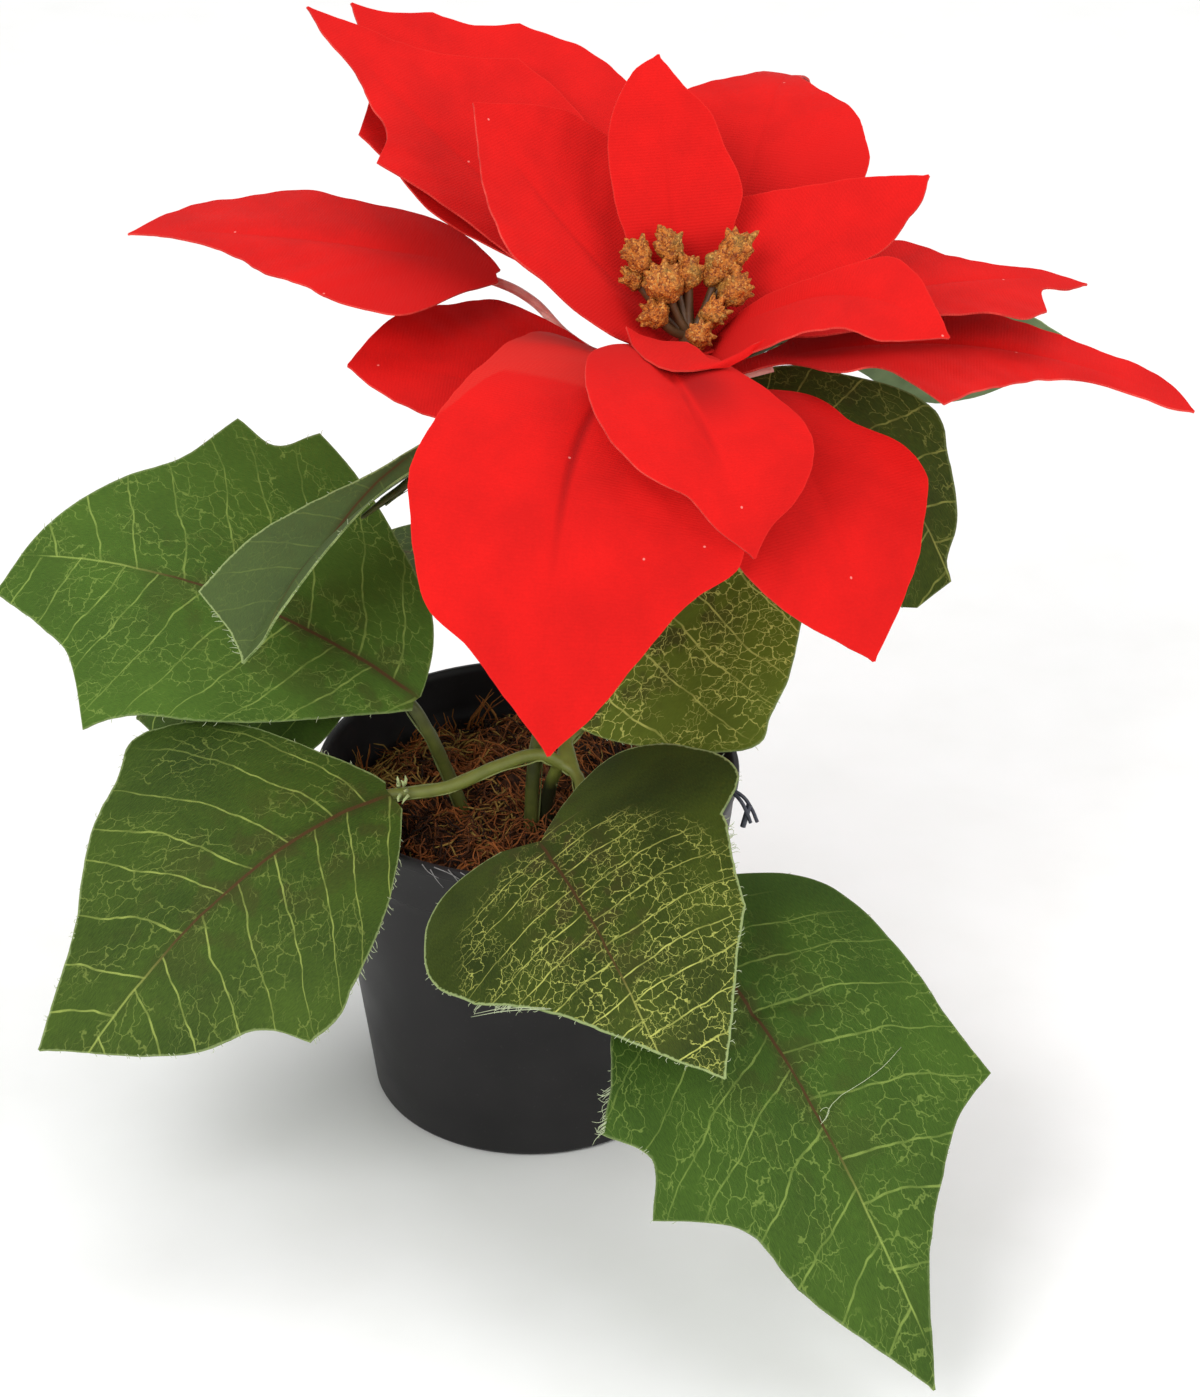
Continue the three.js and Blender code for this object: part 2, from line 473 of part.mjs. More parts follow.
function mossGeometry() {
  const places = [];
  const index = [];
  const base = FILL_TOP + CLEAR;
  const push = (x, y, z) => places.push(x, y, z) / 3 - 1;
  const top = push(0, 0, mossTop(0, 0, 0));
  const ringAt = [];
  for (let k = 1; k <= MOSS_RINGS; k += 1) {
    const share = k / MOSS_RINGS;
    ringAt.push(Array.from({ length: FILL_SIDES }, (_, i) => {
      const a = (2 * Math.PI * i) / FILL_SIDES;
      const edge = innerRadius(base + MOSS_SHOULDER) - FILL_GAP;
      const [x, y] = [edge * share * Math.cos(a), edge * share * Math.sin(a)];
      return push(x, y, mossTop(x, y, share));
    }));
  }
  const foot = innerRadius(base) - FILL_GAP;
  ringAt.push(Array.from({ length: FILL_SIDES }, (_, i) => {
    const a = (2 * Math.PI * i) / FILL_SIDES;
    return push(foot * Math.cos(a), foot * Math.sin(a), base);
  }));
  const under = push(0, 0, base);
  for (let i = 0; i < FILL_SIDES; i += 1) {
    const j = (i + 1) % FILL_SIDES;
    index.push(top, ringAt[0][i], ringAt[0][j]);
    for (let k = 0; k < ringAt.length - 1; k += 1) {
      index.push(ringAt[k][i], ringAt[k + 1][i], ringAt[k + 1][j]);
      index.push(ringAt[k][i], ringAt[k + 1][j], ringAt[k][j]);
    }
    const last = ringAt[ringAt.length - 1];
    index.push(under, last[j], last[i]);
  }
  const moss = new THREE.BufferGeometry();
  moss.setAttribute('position', new THREE.Float32BufferAttribute(places, 3));
  moss.setIndex(index);
  return moss;
}
add('moss', toGeometry(toSolid(mossGeometry()).subtract(holes)), material(MOSS_BROWN, 1));

const DISH_PROFILE = [[0, 0], [7, 0], [8, 1.6], [7.2, 1.8], [6, 1], [0, 1]];
const DISH_AT = [37, -10.5, 201];   // dish that joins the five inner bracts
const leafLook = material(LEAF_GREEN, 0.85);
const bractLook = material(RED, 0.8);
for (const leaf of LEAVES) add(leaf.name, bladeGeometry(leaf), leafLook);
for (const bract of OUTER_BRACTS) add(bract.name, bladeGeometry(bract), bractLook);
add('inner_bract_star', toGeometry(fuse([
  ...INNER_BRACTS.map(bladeGeometry),
  turned(DISH_PROFILE, 12).translate(...DISH_AT),
])), bractLook);

// Hub and stalks of the outer bracts --------------------------------------------------
const hubProfile = [[0, 181.5], [2.2, 181.5], [2.8, 186], [2.8, 194], [2.6, HUB_TOP], [0, HUB_TOP]];
const BRACT_REACH = 0.08;
const STALK_LOW = 184;         // no short stalk leaves the hub lower than this
const LONG_STALK = [[37, -9, 190], [24, 7, 187], [10, 20.5, 188.5], [1.5, 22, 197]];
const LONG_REACH = 0.2;
const NEAR_SHARE = 0.15;       // how far back towards the hub the last bend of a short stalk lies
const STALK_DIP = [7, 4.5];    // drop of a short stalk below its bract: at the hub, near the bract

// A short stalk leaves the hub low down and comes up under its bract.
function shortStalk(bract) {
  const [x, y, z] = bract.root;
  const near = [lerp(x, HUB[0], NEAR_SHARE), lerp(y, HUB[1], NEAR_SHARE), z - STALK_DIP[1]];
  const start = [HUB[0], HUB[1], Math.max(z - STALK_DIP[0], STALK_LOW)];
  return tube(stalkLine(bract, [start, near], BRACT_REACH), STALK_R, 6, 5);
}

const hubPieces = OUTER_BRACTS.map((bract) => (bract.name === 'outer_bract_left'
  ? stalk(bract.name, LONG_STALK, LONG_REACH) : shortStalk(bract)));
add('bract_hub', toGeometry(fuse([
  turned(hubProfile, 12).translate(HUB[0], HUB[1], 0), ...hubPieces])), material(STALK_PINK, 0.5));

// Cyathia: spiky buds on short stalks, in one tuft ----------------------------------------
const TUFT = [37, -10.5, 202.4];
const BUD_STALK_R = 0.9;
const BUDS = [
  { at: [25.6, -5, 220], r: 3.4 }, { at: [32.4, -3, 221], r: 3.5 }, { at: [29.8, -9, 216], r: 4.3 },
  { at: [36.2, -6, 214.7], r: 3.5 }, { at: [42.3, -5, 217.6], r: 3.6 }, { at: [47, -3, 221], r: 3.6 },
  { at: [45.8, -9, 213.2], r: 3.8 }, { at: [41.4, -12, 209.3], r: 3.4 }, { at: [29.3, -13, 209.7], r: 3.5 },
  { at: [38.8, -15, 206.2], r: 2.8 }, { at: [25, -6, 214.9], r: 2.6 },
];

// A knobbly ball with a crown of short spikes on the side away from its stalk.
function bud({ at, r }) {
  const knobs = new THREE.IcosahedronGeometry(r, 1);
  const outward = vec(at).sub(vec(TUFT)).normalize();
  const turn = new THREE.Quaternion().setFromUnitVectors(new THREE.Vector3(0, 0, 1), outward);
  const spikes = [0, 1, 2, 3].map((i) => new THREE.ConeGeometry(r * 0.3, r * 0.9, 4)
    .rotateX(Math.PI / 2).translate(0, 0, r * 1.12).rotateX(rad(i === 0 ? 0 : 50))
    .rotateZ((2 * Math.PI * i) / 3));
  return [knobs, ...spikes].map((g) => g.applyQuaternion(turn).translate(...at));
}

const tuft = [
  turned([[0, 0], [2.6, 0], [2.2, 2], [0, 2.6]], 10).translate(...TUFT),
  ...BUDS.map(({ at }) => tube([[TUFT[0], TUFT[1], TUFT[2] + 1], at], BUD_STALK_R, 4, 1)),
  ...BUDS.flatMap(bud),
];
add('cyathia', toGeometry(fuse(tuft)), material(BUD_GOLD, 0.8));

// Tag pin hooked over the rim --------------------------------------------------------------
const PIN_R = 0.45;
const PIN_BAR_R = 0.7;
const pin = [
  tube([[44.9, -13.7, 82], [45.4, -13.9, 86.4], [47.4, -14.5, 88.4], [50, -15.3, 87.6], [52.3, -16, 84.6],
    [53.8, -16.4, 81]], PIN_R, 5, 10),
  tube([[47.4, -14.5, 88.4], [49.6, -16.6, 87.2], [51.2, -17.4, 84.4], [52.2, -17.8, 81.6]], PIN_R, 5, 6),
  tube([[51.9, -15.8, 85.4], [51, -17.2, 82.6], [50.4, -17.6, 80.4]], PIN_BAR_R, 5, 2),
];
add('tag_pin', toGeometry(fuse(pin)), material(POT_BLACK, 0.5));

export default plant;
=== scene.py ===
"""Artificial poinsettia in its nursery pot: the looks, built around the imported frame."""

import math
import random
from functools import partial

import bpy
import numpy as np
from bpy.props import FloatProperty, FloatVectorProperty, IntProperty, PointerProperty
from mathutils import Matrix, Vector, noise


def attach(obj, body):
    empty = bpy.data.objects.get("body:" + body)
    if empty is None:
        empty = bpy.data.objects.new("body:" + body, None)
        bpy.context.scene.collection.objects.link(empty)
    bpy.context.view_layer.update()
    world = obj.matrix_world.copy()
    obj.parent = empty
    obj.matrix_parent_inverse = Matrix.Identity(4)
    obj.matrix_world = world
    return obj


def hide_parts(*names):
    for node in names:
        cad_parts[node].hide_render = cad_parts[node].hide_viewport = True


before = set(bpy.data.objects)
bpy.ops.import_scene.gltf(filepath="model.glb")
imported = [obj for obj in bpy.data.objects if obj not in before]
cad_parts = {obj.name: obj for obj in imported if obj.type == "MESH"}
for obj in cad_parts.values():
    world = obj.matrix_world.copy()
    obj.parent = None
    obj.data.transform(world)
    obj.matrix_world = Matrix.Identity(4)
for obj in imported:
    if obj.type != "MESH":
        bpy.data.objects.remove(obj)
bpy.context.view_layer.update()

bl_info = {
    "name": "Potted Poinsettia",
    "version": (1, 0, 0),
    "blender": (4, 5, 0),
    "location": "3D View > Sidebar > Poinsettia",
    "description": "Builds an artificial poinsettia: cloth leaves and bracts, stems, buds, moss and pot",
    "category": "Object",
}

MM = 0.001
BODY = "root"

# Pot and moss, in millimetres
POT_SPIN_STEPS = 128
POT_PROFILE = [
    (0, 0), (12, 0.2), (24, 0.1), (35.4, 0), (36.8, 0.2), (37.6, 0.7), (38, 1.5), (39.3, 11.5), (41.9, 31),
    (44.5, 51), (47.0, 70), (47.3, 72), (47.6, 72.6), (48, 73), (48.4, 76), (49.2, 83.6), (49.5, 84.1),
    (49.9, 84.3), (50, 84.8), (50, 86.3), (49.8, 86.8), (49.4, 87), (48.8, 87), (48.5, 86.7), (48.2, 85),
    (47.4, 77), (46.9, 74.4), (46.1, 73), (43.5, 53), (40.1, 27), (36.9, 3), (36.2, 2.2), (24, 2), (0, 2),
]
MOSS_RADIUS = 45.4
MOSS_FOOT_RADIUS = 44.6
MOSS_FOOT = 66.3
MOSS_TOP = 79
# Tufts of ochre moss: place and reach
OCHRE_TUFTS = [(-40, 14, 7), (-33, 4, 6), (-38, 22, 5), (-7, -14, 5), (-20, 25, 5)]

# Stems and stalks, in mm: points, radius, the leaf whose rib the end runs under, and how far along it
JOINT = (8, -20.4, 99.5)
FRONT_ARM = [(11.5, -23, 98), (13.5, -33, 95)]
FLOWER_STEM = [
    ([(0.9, -17.5, 40), (0.9, -17.5, 60), (0.9, -17.5, 80), (2.3, -16.5, 100), (12, -12, 138), (26, -10, 165),
      (36.4, -9, 176), (37, -9, 181)], 1.7, None, 0),
    ([(12, -12, 138), (2, -8.5, 152), (-11, -7, 162.5)], 1.1, "leaf_folded", 0.3),
    ([(29, -9.8, 168.3), (38, -6, 175)], 1.1, "leaf_behind_right", 0.2),
    ([(33.5, -9.3, 172.8), (40, 2, 182)], 1.1, "leaf_far_right", 0.2),
    ([(3.3, -16, 104), (5.5, -9, 113), (7.5, 0, 120.5)], 1.1, "leaf_behind_left", 0.25),
]
LEAF_BRANCH = [
    ([(4.1, -15.3, 40), (4.1, -15.3, 60), (4.1, -15.3, 80), (5.4, -17.2, 91), (7.6, -20, 99)], 1.6, None, 0),
    ([JOINT, (3.2, -21, 102), (-5.9, -24, 101), (-18, -28, 97.5)], 1.6, "leaf_left_lower", 0.3),
    ([JOINT, *FRONT_ARM, (9, -45, 94)], 1.4, "leaf_front", 0.25),
    ([JOINT, *FRONT_ARM, (22, -41, 93), (30, -50, 90)], 1.4, "leaf_right_lower", 0.25),
    ([JOINT, (9.2, -15, 101.5), (12, -10.5, 102.5)], 1.4, "leaf_center_right", 0.3),
]
LEFT_STALK = [
    ([(-15.4, -8, 40), (-15.4, -8, 60), (-15.4, -8, 79), (-18.2, -8.4, 88), (-22.5, -10.4, 101)], 1.6,
     "leaf_left_upper", 0.3),
    ([(-25, -10.3, 107), (-28, -5, 106.3), (-32, 0, 104), (-36.5, 5.5, 101.8)], 1.1, "leaf_back_left", 0.3),
]
WEB = [(JOINT, (9.5, -17.5, 100.8)), ((9.2, -15, 101.5), (11.5, -23, 98))]
BRACT_STALK_REACH = 0.08
LONG_STALK = [(37, -9, 190), (24, 7, 187), (10, 20.5, 188.5), (1.5, 22, 197)]
LONG_STALK_REACH = 0.2

# Buds of the flower: centre and radius in millimetres, and how much longer than wide each is
TUFT = (37, -10.5, 202.4)
BUDS = [
    ((25.6, -5, 220), 3.1, 1.35), ((32.4, -3, 221), 3.2, 1.2), ((31.4, -9.2, 214.8), 4.4, 1.0),
    ((36.4, -6, 216), 3.2, 1.2), ((43.2, -5, 216.4), 3.7, 1.25), ((46.8, -3, 220.4), 3.4, 1.3),
    ((46.2, -9, 213.2), 3.5, 1.15), ((41.4, -12, 209), 2.9, 1.1), ((29.3, -13, 209.5), 3.3, 1.0),
    ((38.8, -16, 206), 3.0, 0.9), ((25, -6, 214.9), 2.5, 1.0),
]
HUB_AXIS = (37, -9)
HUB_PROFILE = [(0, 181.5), (2.0, 181.5), (2.3, 182.2), (2.8, 186), (2.8, 194), (2.6, 200.4), (2.2, 200.7),
               (0, 200.7)]
DISH_PROFILE = [(0, 0), (6.6, 0), (7.2, 0.3), (8, 1.5), (7.8, 1.8), (7.2, 1.8), (6, 1.1), (3, 1), (0, 1)]
DISH_PLACE = (37, -10.5, 201)
TAG_PIN = [
    ([(44.9, -13.7, 82), (45.4, -13.9, 86.4), (47.4, -14.5, 88.4), (50, -15.3, 87.6), (52.3, -16, 84.6),
      (53.8, -16.4, 81)], 0.45),
    ([(47.4, -14.5, 88.4), (49.6, -16.6, 87.2), (51.2, -17.4, 84.4), (52.2, -17.8, 81.6)], 0.45),
    ([(51.9, -15.8, 85.4), (51, -17.2, 82.6), (50.4, -17.6, 80.4)], 0.7),
]


def blade_data(name, root, crest, tip, left, right, **bends):
    """A blade whose rib is a curve from root by crest to tip, in mm. left and right list the points of its
    outline in per cent of the rib and mm from it, with ! at a sharp corner. bends may hold roll and fold in
    degrees, slant0, the lean of the rows at the root in degrees, and cup, the rise in mm at CUP_REACH."""
    blade = {"name": name, "root": root, "crest": crest, "tip": tip, **bends}
    for side, marks in (("left", left), ("right", right)):
        blade[side] = []
        for mark in marks.split():
            share, width = mark.rstrip("!").split(":")
            blade[side].append((float(share) / 100, float(width), mark.endswith("!")))
    return blade


LEAVES = [
    blade_data(
        "leaf_left_upper", (-26, -12, 111), (-75, 2, 138), (-123, 10, 129),
        "0:2 8:8 28:23 60:31 66:34! 76:18 87:10 100:2",
        "0:2 8:18 19:33 30:50! 38.5:43.5 46:48! 55:37 71:27 89:13 100:0", cup=-1.5, roll=-42),
    blade_data(
        "leaf_folded", (-22, -7, 169.7), (-50.5, -18, 157.7), (-62.5, -38, 136),
        "0:6 18:11 32:14 50:13 66:10.5 80:7 90:5.5 100:0",
        "0:6.5 18:6.5 34:10 55:14.5 78:17! 87:8 95:2.5 100:0", roll=10, fold=26),
    blade_data(
        "leaf_left_lower", (-32, -30, 98), (-72, -48, 98), (-109, -75, 57),
        "0:6 18:31 35:45 48:46! 54:39 74:29 84:20 100:0",
        "0:2 13:15 30:40 36:41 44:35 55:29 77:12 100:0", cup=-1.5, roll=-25),
    blade_data(
        "leaf_front", (4, -50.5, 97), (22, -88.5, 105), (43.5, -125.5, 85),
        "0:2 4:23 10.7:36.2 15.6:40.3 20:43.2 24:42 28:33! 35.4:30.4 47.5:26.5 57:24! 68:17.5 85:8.5 100:0",
        "0:8 7:25 15.5:36 22:40 30:36 44:28 71:15.5 92:5 100:0", cup=-1.5, roll=25, slant0=-45),
    blade_data(
        "leaf_right_lower", (37, -60, 88), (62, -100, 82), (89, -145, 17),
        "0:12 7:26 26:38 44:41 52:44! 58:33 69:21 79:12 100:0",
        "0:10 15:27 26:38 37:48.5! 46:41 55:46.5! 63:31 78:21.5 100:0", cup=-1.5),
    blade_data(
        "leaf_center_right", (12, -12, 106), (42, -8, 138), (70, 0, 152),
        "0:2 15:18 35:28 50:26 75:13 100:0",
        "0:2 12:15.5 22:28 28:34 37:31 51:26 62:20 80:9 100:0", cup=1, roll=40),
    blade_data(
        "leaf_behind_right", (47, -2, 183), (75, 4, 178), (86, -14, 137),
        "0:3 10:9 30:19 52:28 61:24 80:17 88:12.5 93:12! 100:3",
        "0:3 20:15 50:22 75:13 100:0", cup=1.5, roll=25),
    blade_data(
        "leaf_far_right", (54, 12, 192), (90, 28, 195), (129, 36, 177),
        "0:3 20:10 50:25 62:26 71:23 89:11 100:0",
        "0:3 30:8 60:9 80:6 100:1", cup=2, roll=-70),
    blade_data(
        "leaf_behind_left", (8, 8, 126), (-20, 38, 128), (-50, 64, 110),
        "0:3 20:13.5 45:24 70:19 80:14.5! 100:0",
        "0:2 20:12.5 40:20 60:21! 70:14 100:0", cup=2, roll=-6),
    blade_data(
        "leaf_back_left", (-42, 9, 104), (-68, 20, 110), (-95, 26, 84),
        "0:8 5:17 15:24 40:30 62:31! 70:21 85:12 100:0",
        "0:3 20:17 40:27 65:21 85:10 100:0", cup=-1.5, roll=-30),
]

OUTER_BRACTS = [
    blade_data(
        "outer_bract_back_left", (31, -1, 198), (-8, 32, 222), (-50, 60, 253),
        "0:3 15:11 30:14.5 42:16.5 52:20 59:23! 65:13.5 74:9 82:5 93:3 100:0",
        "0:3 20:20 35:32 51:37 62:36! 71:24 79:16 91:7 100:0", cup=1.5),
    blade_data(
        "outer_bract_back_left_rear", (33, 3, 196), (-2, 49, 218), (-41, 78, 247),
        "0:3 10:4 20:13 41:29 57:29 65:29.5! 75:18 88:8 100:0",
        "0:3 10:6 20:18 40:40 59:43 73:34! 78:25 87:17! 93:7 100:0", cup=1.5),
    blade_data(
        "outer_bract_back_right", (42.4, 6, 194.8), (59, 61, 263), (67, 88, 214),
        "0:3 10:5 20:15 32:22 42:22 52:15 60:9 80:6 100:0",
        "0:3 10:8 18:20 26:26.5 35:24 45:19 54:10 63:4 80:3 100:0", cup=-1),
    blade_data(
        "outer_bract_right", (44, -3, 198), (90, 8, 214), (126.5, 12, 205.5),
        "0:3 10:5 20:12 33:22 44:23.5 50:20.5 60:12.5 70:7.5 86:5! 94:2 100:0",
        "0:3 10:5 20:12 35:17 49:17.5 60:19 67:23.5 77:19! 81:9 92:4.5 100:0", cup=1.5),
    blade_data(
        "outer_bract_right_front", (46.5, -8.5, 194), (100, -4, 210), (148.5, -16, 187.5),
        "0:3 10:5 20:14 40:19 58:14 66:12 74:10 88:8.5 95:5 100:0",
        "0:3 12:4 20:12 30:15 33.5:24 37:34.5! 45:27 55:19.5 63:13 73:7.5 88:5 96:3 100:0", cup=1.5),
    blade_data(
        "outer_bract_front_right", (42, -16, 191), (66, -42, 200), (76, -66, 152.5),
        "0:3 11:10 19:15.5 34:18.5 43:25 51:27 67:21 77:16 89:8 100:0",
        "0:3 20:16 40:26 55:27.5 64:25.5 75:21 83:16 95:5 100:0", cup=-1.5),
    blade_data(
        "outer_bract_front", (34.8, -14.4, 193), (4, -60, 233), (6, -78, 136),
        "0:4 20:18 40:33 55:39 66:38 72:31 85:19 95:8 100:0",
        "0:9 10:29.5 21:28.5 29:28 39:30 47:32 57:34 64:32 71:29.5 "
        "78:25.5 83:18 90:10.5 100:0", cup=-1.5, roll=-8, slant0=-35),
    blade_data(
        "outer_bract_left_front", (30, -12, 185), (-2, -10, 193), (-39, -8, 195),
        "0:3 30:14 50:17 67:15 80:11 92:5.5 100:0",
        "0:3 15:10 30:27 47:35 63:30 81:22.5 90:13.5 100:0", cup=-2, roll=-10),
    blade_data(
        "outer_bract_left", (-6.5, 17, 206), (-46.5, 24, 216), (-91.5, 38.5, 206),
        "0:4 9:13.5 19:28.5 24:28.5 40:22.5 53:18.5 61:13.5 75:7.5 87:3 100:0",
        "0:2 7:8.5 16:16.5 24:21.5 43:25.5 60:29.5 72:24 86:18.5 91:13 100:0", cup=-2),
]

INNER_BRACTS = [
    blade_data(
        "inner_0", (36, -6, 202), (32, 8, 232), (30, 26, 255),
        "0:3 15:8 30:11 50:13 63:13 83:9 95:4 100:0",
        "0:3 15:9 32:14 40:16 60:13 75:10 84:6 100:0", cup=2),
    blade_data(
        "inner_1", (33, -8, 202), (8, 4, 222), (-11, 20, 246),
        "0:3 10:13 20:18 37:20.5 45:22 55:19 69:14 84:7 100:0",
        "0:3 20:15 40:26 53:29 68:25.5 77:22 87:14 100:0", cup=2),
    blade_data(
        "inner_2", (40, -7, 202), (62, 4, 216), (90, 12, 232),
        "0:3 15:14 28:21 37:22 44:20 59:15.5 72:11.5 90:4.5 100:0",
        "0:3 15:3 35:6 57:9 73:9.5 82:7 92:4.5 100:0", cup=2, roll=25),
    blade_data(
        "inner_3", (41, -13, 201), (66, -25, 234), (91.6, -38, 216),
        "0:3 14:5 42:6 54:9 62:12 70:11 77:9 88:4.5 95:2 100:0",
        "0:3 10:12 27:16.5 45:14 60:11.5 80:10.5 92:5 100:0", cup=2.5, roll=20),
    blade_data(
        "inner_4", (36, -16, 202), (42, -58, 223), (49.5, -74, 182),
        "0:3 24:7 38:12.5 49:17.5 63:19.5 75:17 84:12.5 93:4.5 100:0",
        "0:6 14:18 25:26 40:29 58:26.5 69:21 79:12.5 87:9 100:0", cup=-1, roll=-12),
]

# Where the vein print lies on a leaf: start along the rib and aside in mm, turn in degrees, scale, strength
PRINTS = {
    "leaf_left_upper": (0, -1.5, -3.6, 1.0, 0.5),
    "leaf_folded": (2, -5, 12, 0.75, 0.14),
    "leaf_left_lower": (0, 1.5, 5, 1.1, 0.6),
    "leaf_front": (0, -0.8, -6.5, 0.85, 1.0),
    "leaf_right_lower": (4, -7, 4.5, 1.2, 0.45),
    "leaf_center_right": (-6, 2, 4, 0.95, 1.0),
    "leaf_behind_right": (0, 3, 8, 0.8, 0.45),
    "leaf_far_right": (0, 2, -5, 0.9, 0.4),
    "leaf_behind_left": (0, -3, 5, 0.9, 0.5),
    "leaf_back_left": (3, 2, -6, 0.95, 0.6),
}
# How light the cloth of each leaf is, how olive, how much painted sheen pales it where it is seen at a
# glance, how frayed at the edge, and how much net it has
# The high tone of leaf_center_right is partly painted light, making up for the shade that the bracts cast on
# it
LEAF_LOOKS = {
    "leaf_left_upper": (0.62, 0.1, 0.0, 0.35, 0.75), "leaf_folded": (0.3, 0.2, 0.32, 0.9, 0.5),
    "leaf_left_lower": (0.3, 0.35, 0.0, 0.55, 0.5), "leaf_front": (0.18, 0.75, 0.0, 1.0, 1.0),
    "leaf_right_lower": (0.44, 0.1, 0.0, 0.25, 0.85), "leaf_center_right": (0.9, 0.85, 0.0, 0.35, 1.4),
    "leaf_behind_right": (0.2, 0.7, 0.0, 0.35, 0.7),
}
# How far the side veins lean towards the tip, in mm for each mm from the rib, on the left and on the right
VEIN_SWEEPS = {
    "leaf_left_upper": (0.45, 0.35), "leaf_left_lower": (0.5, 0.4), "leaf_front": (-0.2, 0.2),
    "leaf_right_lower": (0.1, 0.5), "leaf_center_right": (0.0, 0.0),
}
# How far in degrees a blade's rows lean towards its tip, further out and at its root, and the rib share where
# the first lean is reached
BLADE_SLANT = 12
ROOT_SLANT = -20
SLANT_SHARE = 0.3
# Distance in mm from the rib at which a blade's cup is measured
CUP_REACH = 30.0
# Mesh of a blade: mm between its rows, columns beside the rib, and how much they crowd towards it
ROW_STEP = 1.3
HALF_COLUMNS = 16
COLUMN_CROWDING = 1.35
# Half width in mm that is left at the ends of a blade
TIP_HALF_WIDTH = 0.25
# Distance in mm between the ribs pressed across a bract
SIDE_RIB_PITCH = 9.0
# Depth and length in mm of the small unevenness of a cut edge
NIBBLE = 0.22
NIBBLE_STEP = 2.4
# Length in mm of the cloth's long and short waves, and how high the short ones are beside the long ones
LONG_WAVE = 24
SHORT_WAVE = 9
SHORT_WAVE_SHARE = 0.35
# Depth and width in mm of the crease pressed along a bract's rib
BRACT_CREASE = (0.6, 2.0)
DEEP_CREASES = {"outer_bract_front": (1.3, 2.4), "inner_4": (3.0, 6.5), "outer_bract_front_right": (0.9, 3.0),
                "outer_bract_back_left": (1.4, 5.0), "outer_bract_left": (1.2, 5.0), "inner_3": (1.6, 4.0)}
# How far beside the rib, in mm at the root, a bract's crease begins
CREASE_ASIDE = {"inner_4": -10.5}
# A dent pressed across a leaf: rib share, first and last distance from the rib, depth and half width in mm
DENTS = {"cloth_leaf_right_lower": (0.33, -5, 17, 0.9, 1.8)}
# From 0 to 1: how much painted sheen pales a bract's flat nap near its root, how dark the painted shade on
# its shaded half is, and how dark the painted shade in its crease is
NAP_SHEEN = {"outer_bract_front": 1.0}
SHADED_HALF = {"inner_4": 1.0, "outer_bract_front_right": 0.2}
CREASE_SHADE = {"inner_4": 0.6, "outer_bract_front": 0.85, "inner_1": 0.35, "outer_bract_back_right": 0.15}
# Rim of cloth in front of the buds: pairs of a point on its free edge and one on the bract under it
COLLAR = [((22.7, -19.5, 209.9), (22.9, -21, 209.9)), ((25.8, -20, 208), (24, -29, 209.9)),
          ((30.4, -20.5, 206.8), (26.5, -37.2, 210.9)), ((36, -21, 206.8), (29.6, -41.5, 210.9)),
          ((38.4, -24, 206.7), (32.6, -43.5, 210.9)), ((40.3, -32.5, 208.4), (36.7, -41.3, 209.8)),
          ((43.1, -35, 208.9), (40.6, -38.8, 209.1)), ((47.3, -34.5, 210.8), (44.5, -36, 208.2)),
          ((50.1, -34, 212.7), (48.4, -35, 209.9)), ((52.7, -33, 213.4), (52.7, -33.5, 213))]


def linear(hex_colour):
    """An sRGB hex colour as linear red, green, blue and alpha."""
    channels = [int(hex_colour[k:k + 2], 16) / 255 for k in (1, 3, 5)]
    return (*[c / 12.92 if c <= 0.04045 else ((c + 0.055) / 1.055)**2.4 for c in channels], 1.0)


LENGTH = {"unit": "LENGTH", "subtype": "DISTANCE"}
COLOUR = {"subtype": "COLOR", "size": 3, "min": 0, "max": 1}


class PotSettings(bpy.types.PropertyGroup):
    """The pot, the moss in it and the threads of hot glue at its rim."""
    spin_steps: IntProperty(
        name="Spin steps", description="Faces around the pot", default=POT_SPIN_STEPS, min=24)
    pot_colour: FloatVectorProperty(
        name="Pot", description="Colour of the pot's plastic", default=linear("#131112")[:3], **COLOUR)
    strands: IntProperty(name="Strands", description="How many moss fibres are laid", default=4600, min=0)
    strand_radius: FloatProperty(
        name="Strand radius", description="Half the thickness of a moss fibre", default=0.2 * MM, **LENGTH)


class LeafSettings(bpy.types.PropertyGroup):
    """The printed green leaves."""
    thickness: FloatProperty(
        name="Cloth", description="Thickness of the leaf cloth", default=0.45 * MM, **LENGTH)
    vein_pitch: FloatProperty(
        name="Vein pitch", description="Distance between the side veins", default=10.5 * MM, **LENGTH)
    deep_green: FloatVectorProperty(
        name="Deep green", description="Darkest green of the print", default=linear("#233A0D")[:3], **COLOUR)
    light_green: FloatVectorProperty(
        name="Light green", description="Lightest green of the print", default=linear("#4A6C20")[:3],
        **COLOUR)
    vein_colour: FloatVectorProperty(
        name="Veins", description="Colour of the printed veins", default=linear("#9BB458")[:3], **COLOUR)


class BractSettings(bpy.types.PropertyGroup):
    """The red bracts and the buds in their middle."""
    thickness: FloatProperty(
        name="Cloth", description="Thickness of the bract cloth", default=0.45 * MM, **LENGTH)
    red: FloatVectorProperty(
        name="Red", description="Colour of the bract cloth", default=linear("#D61310")[:3], **COLOUR)
    # Painted shade: the crease, the root and the shaded half of a bract are painted in this darker red
    shade_red: FloatVectorProperty(
        name="Deep red", description="Colour in the pressed creases", default=linear("#9E0B0B")[:3], **COLOUR)
    gold: FloatVectorProperty(
        name="Buds", description="Colour of the buds' granules", default=linear("#C87624")[:3], **COLOUR)


class StudioSettings(bpy.types.PropertyGroup):
    """Camera, lights and floor."""
    lens: FloatProperty(name="Lens", description="Focal length in millimetres", default=110.0, min=10)
    distance: FloatProperty(
        name="Distance", description="From the camera to the point it looks at", default=1.0, **LENGTH)
    elevation: FloatProperty(
        name="Elevation", description="How far the camera looks down", default=math.radians(30.25),
        subtype="ANGLE", unit="ROTATION")
    floor_colour: FloatVectorProperty(
        name="Floor", description="Colour of the floor", default=linear("#F6F6F4")[:3], **COLOUR)


# Blades

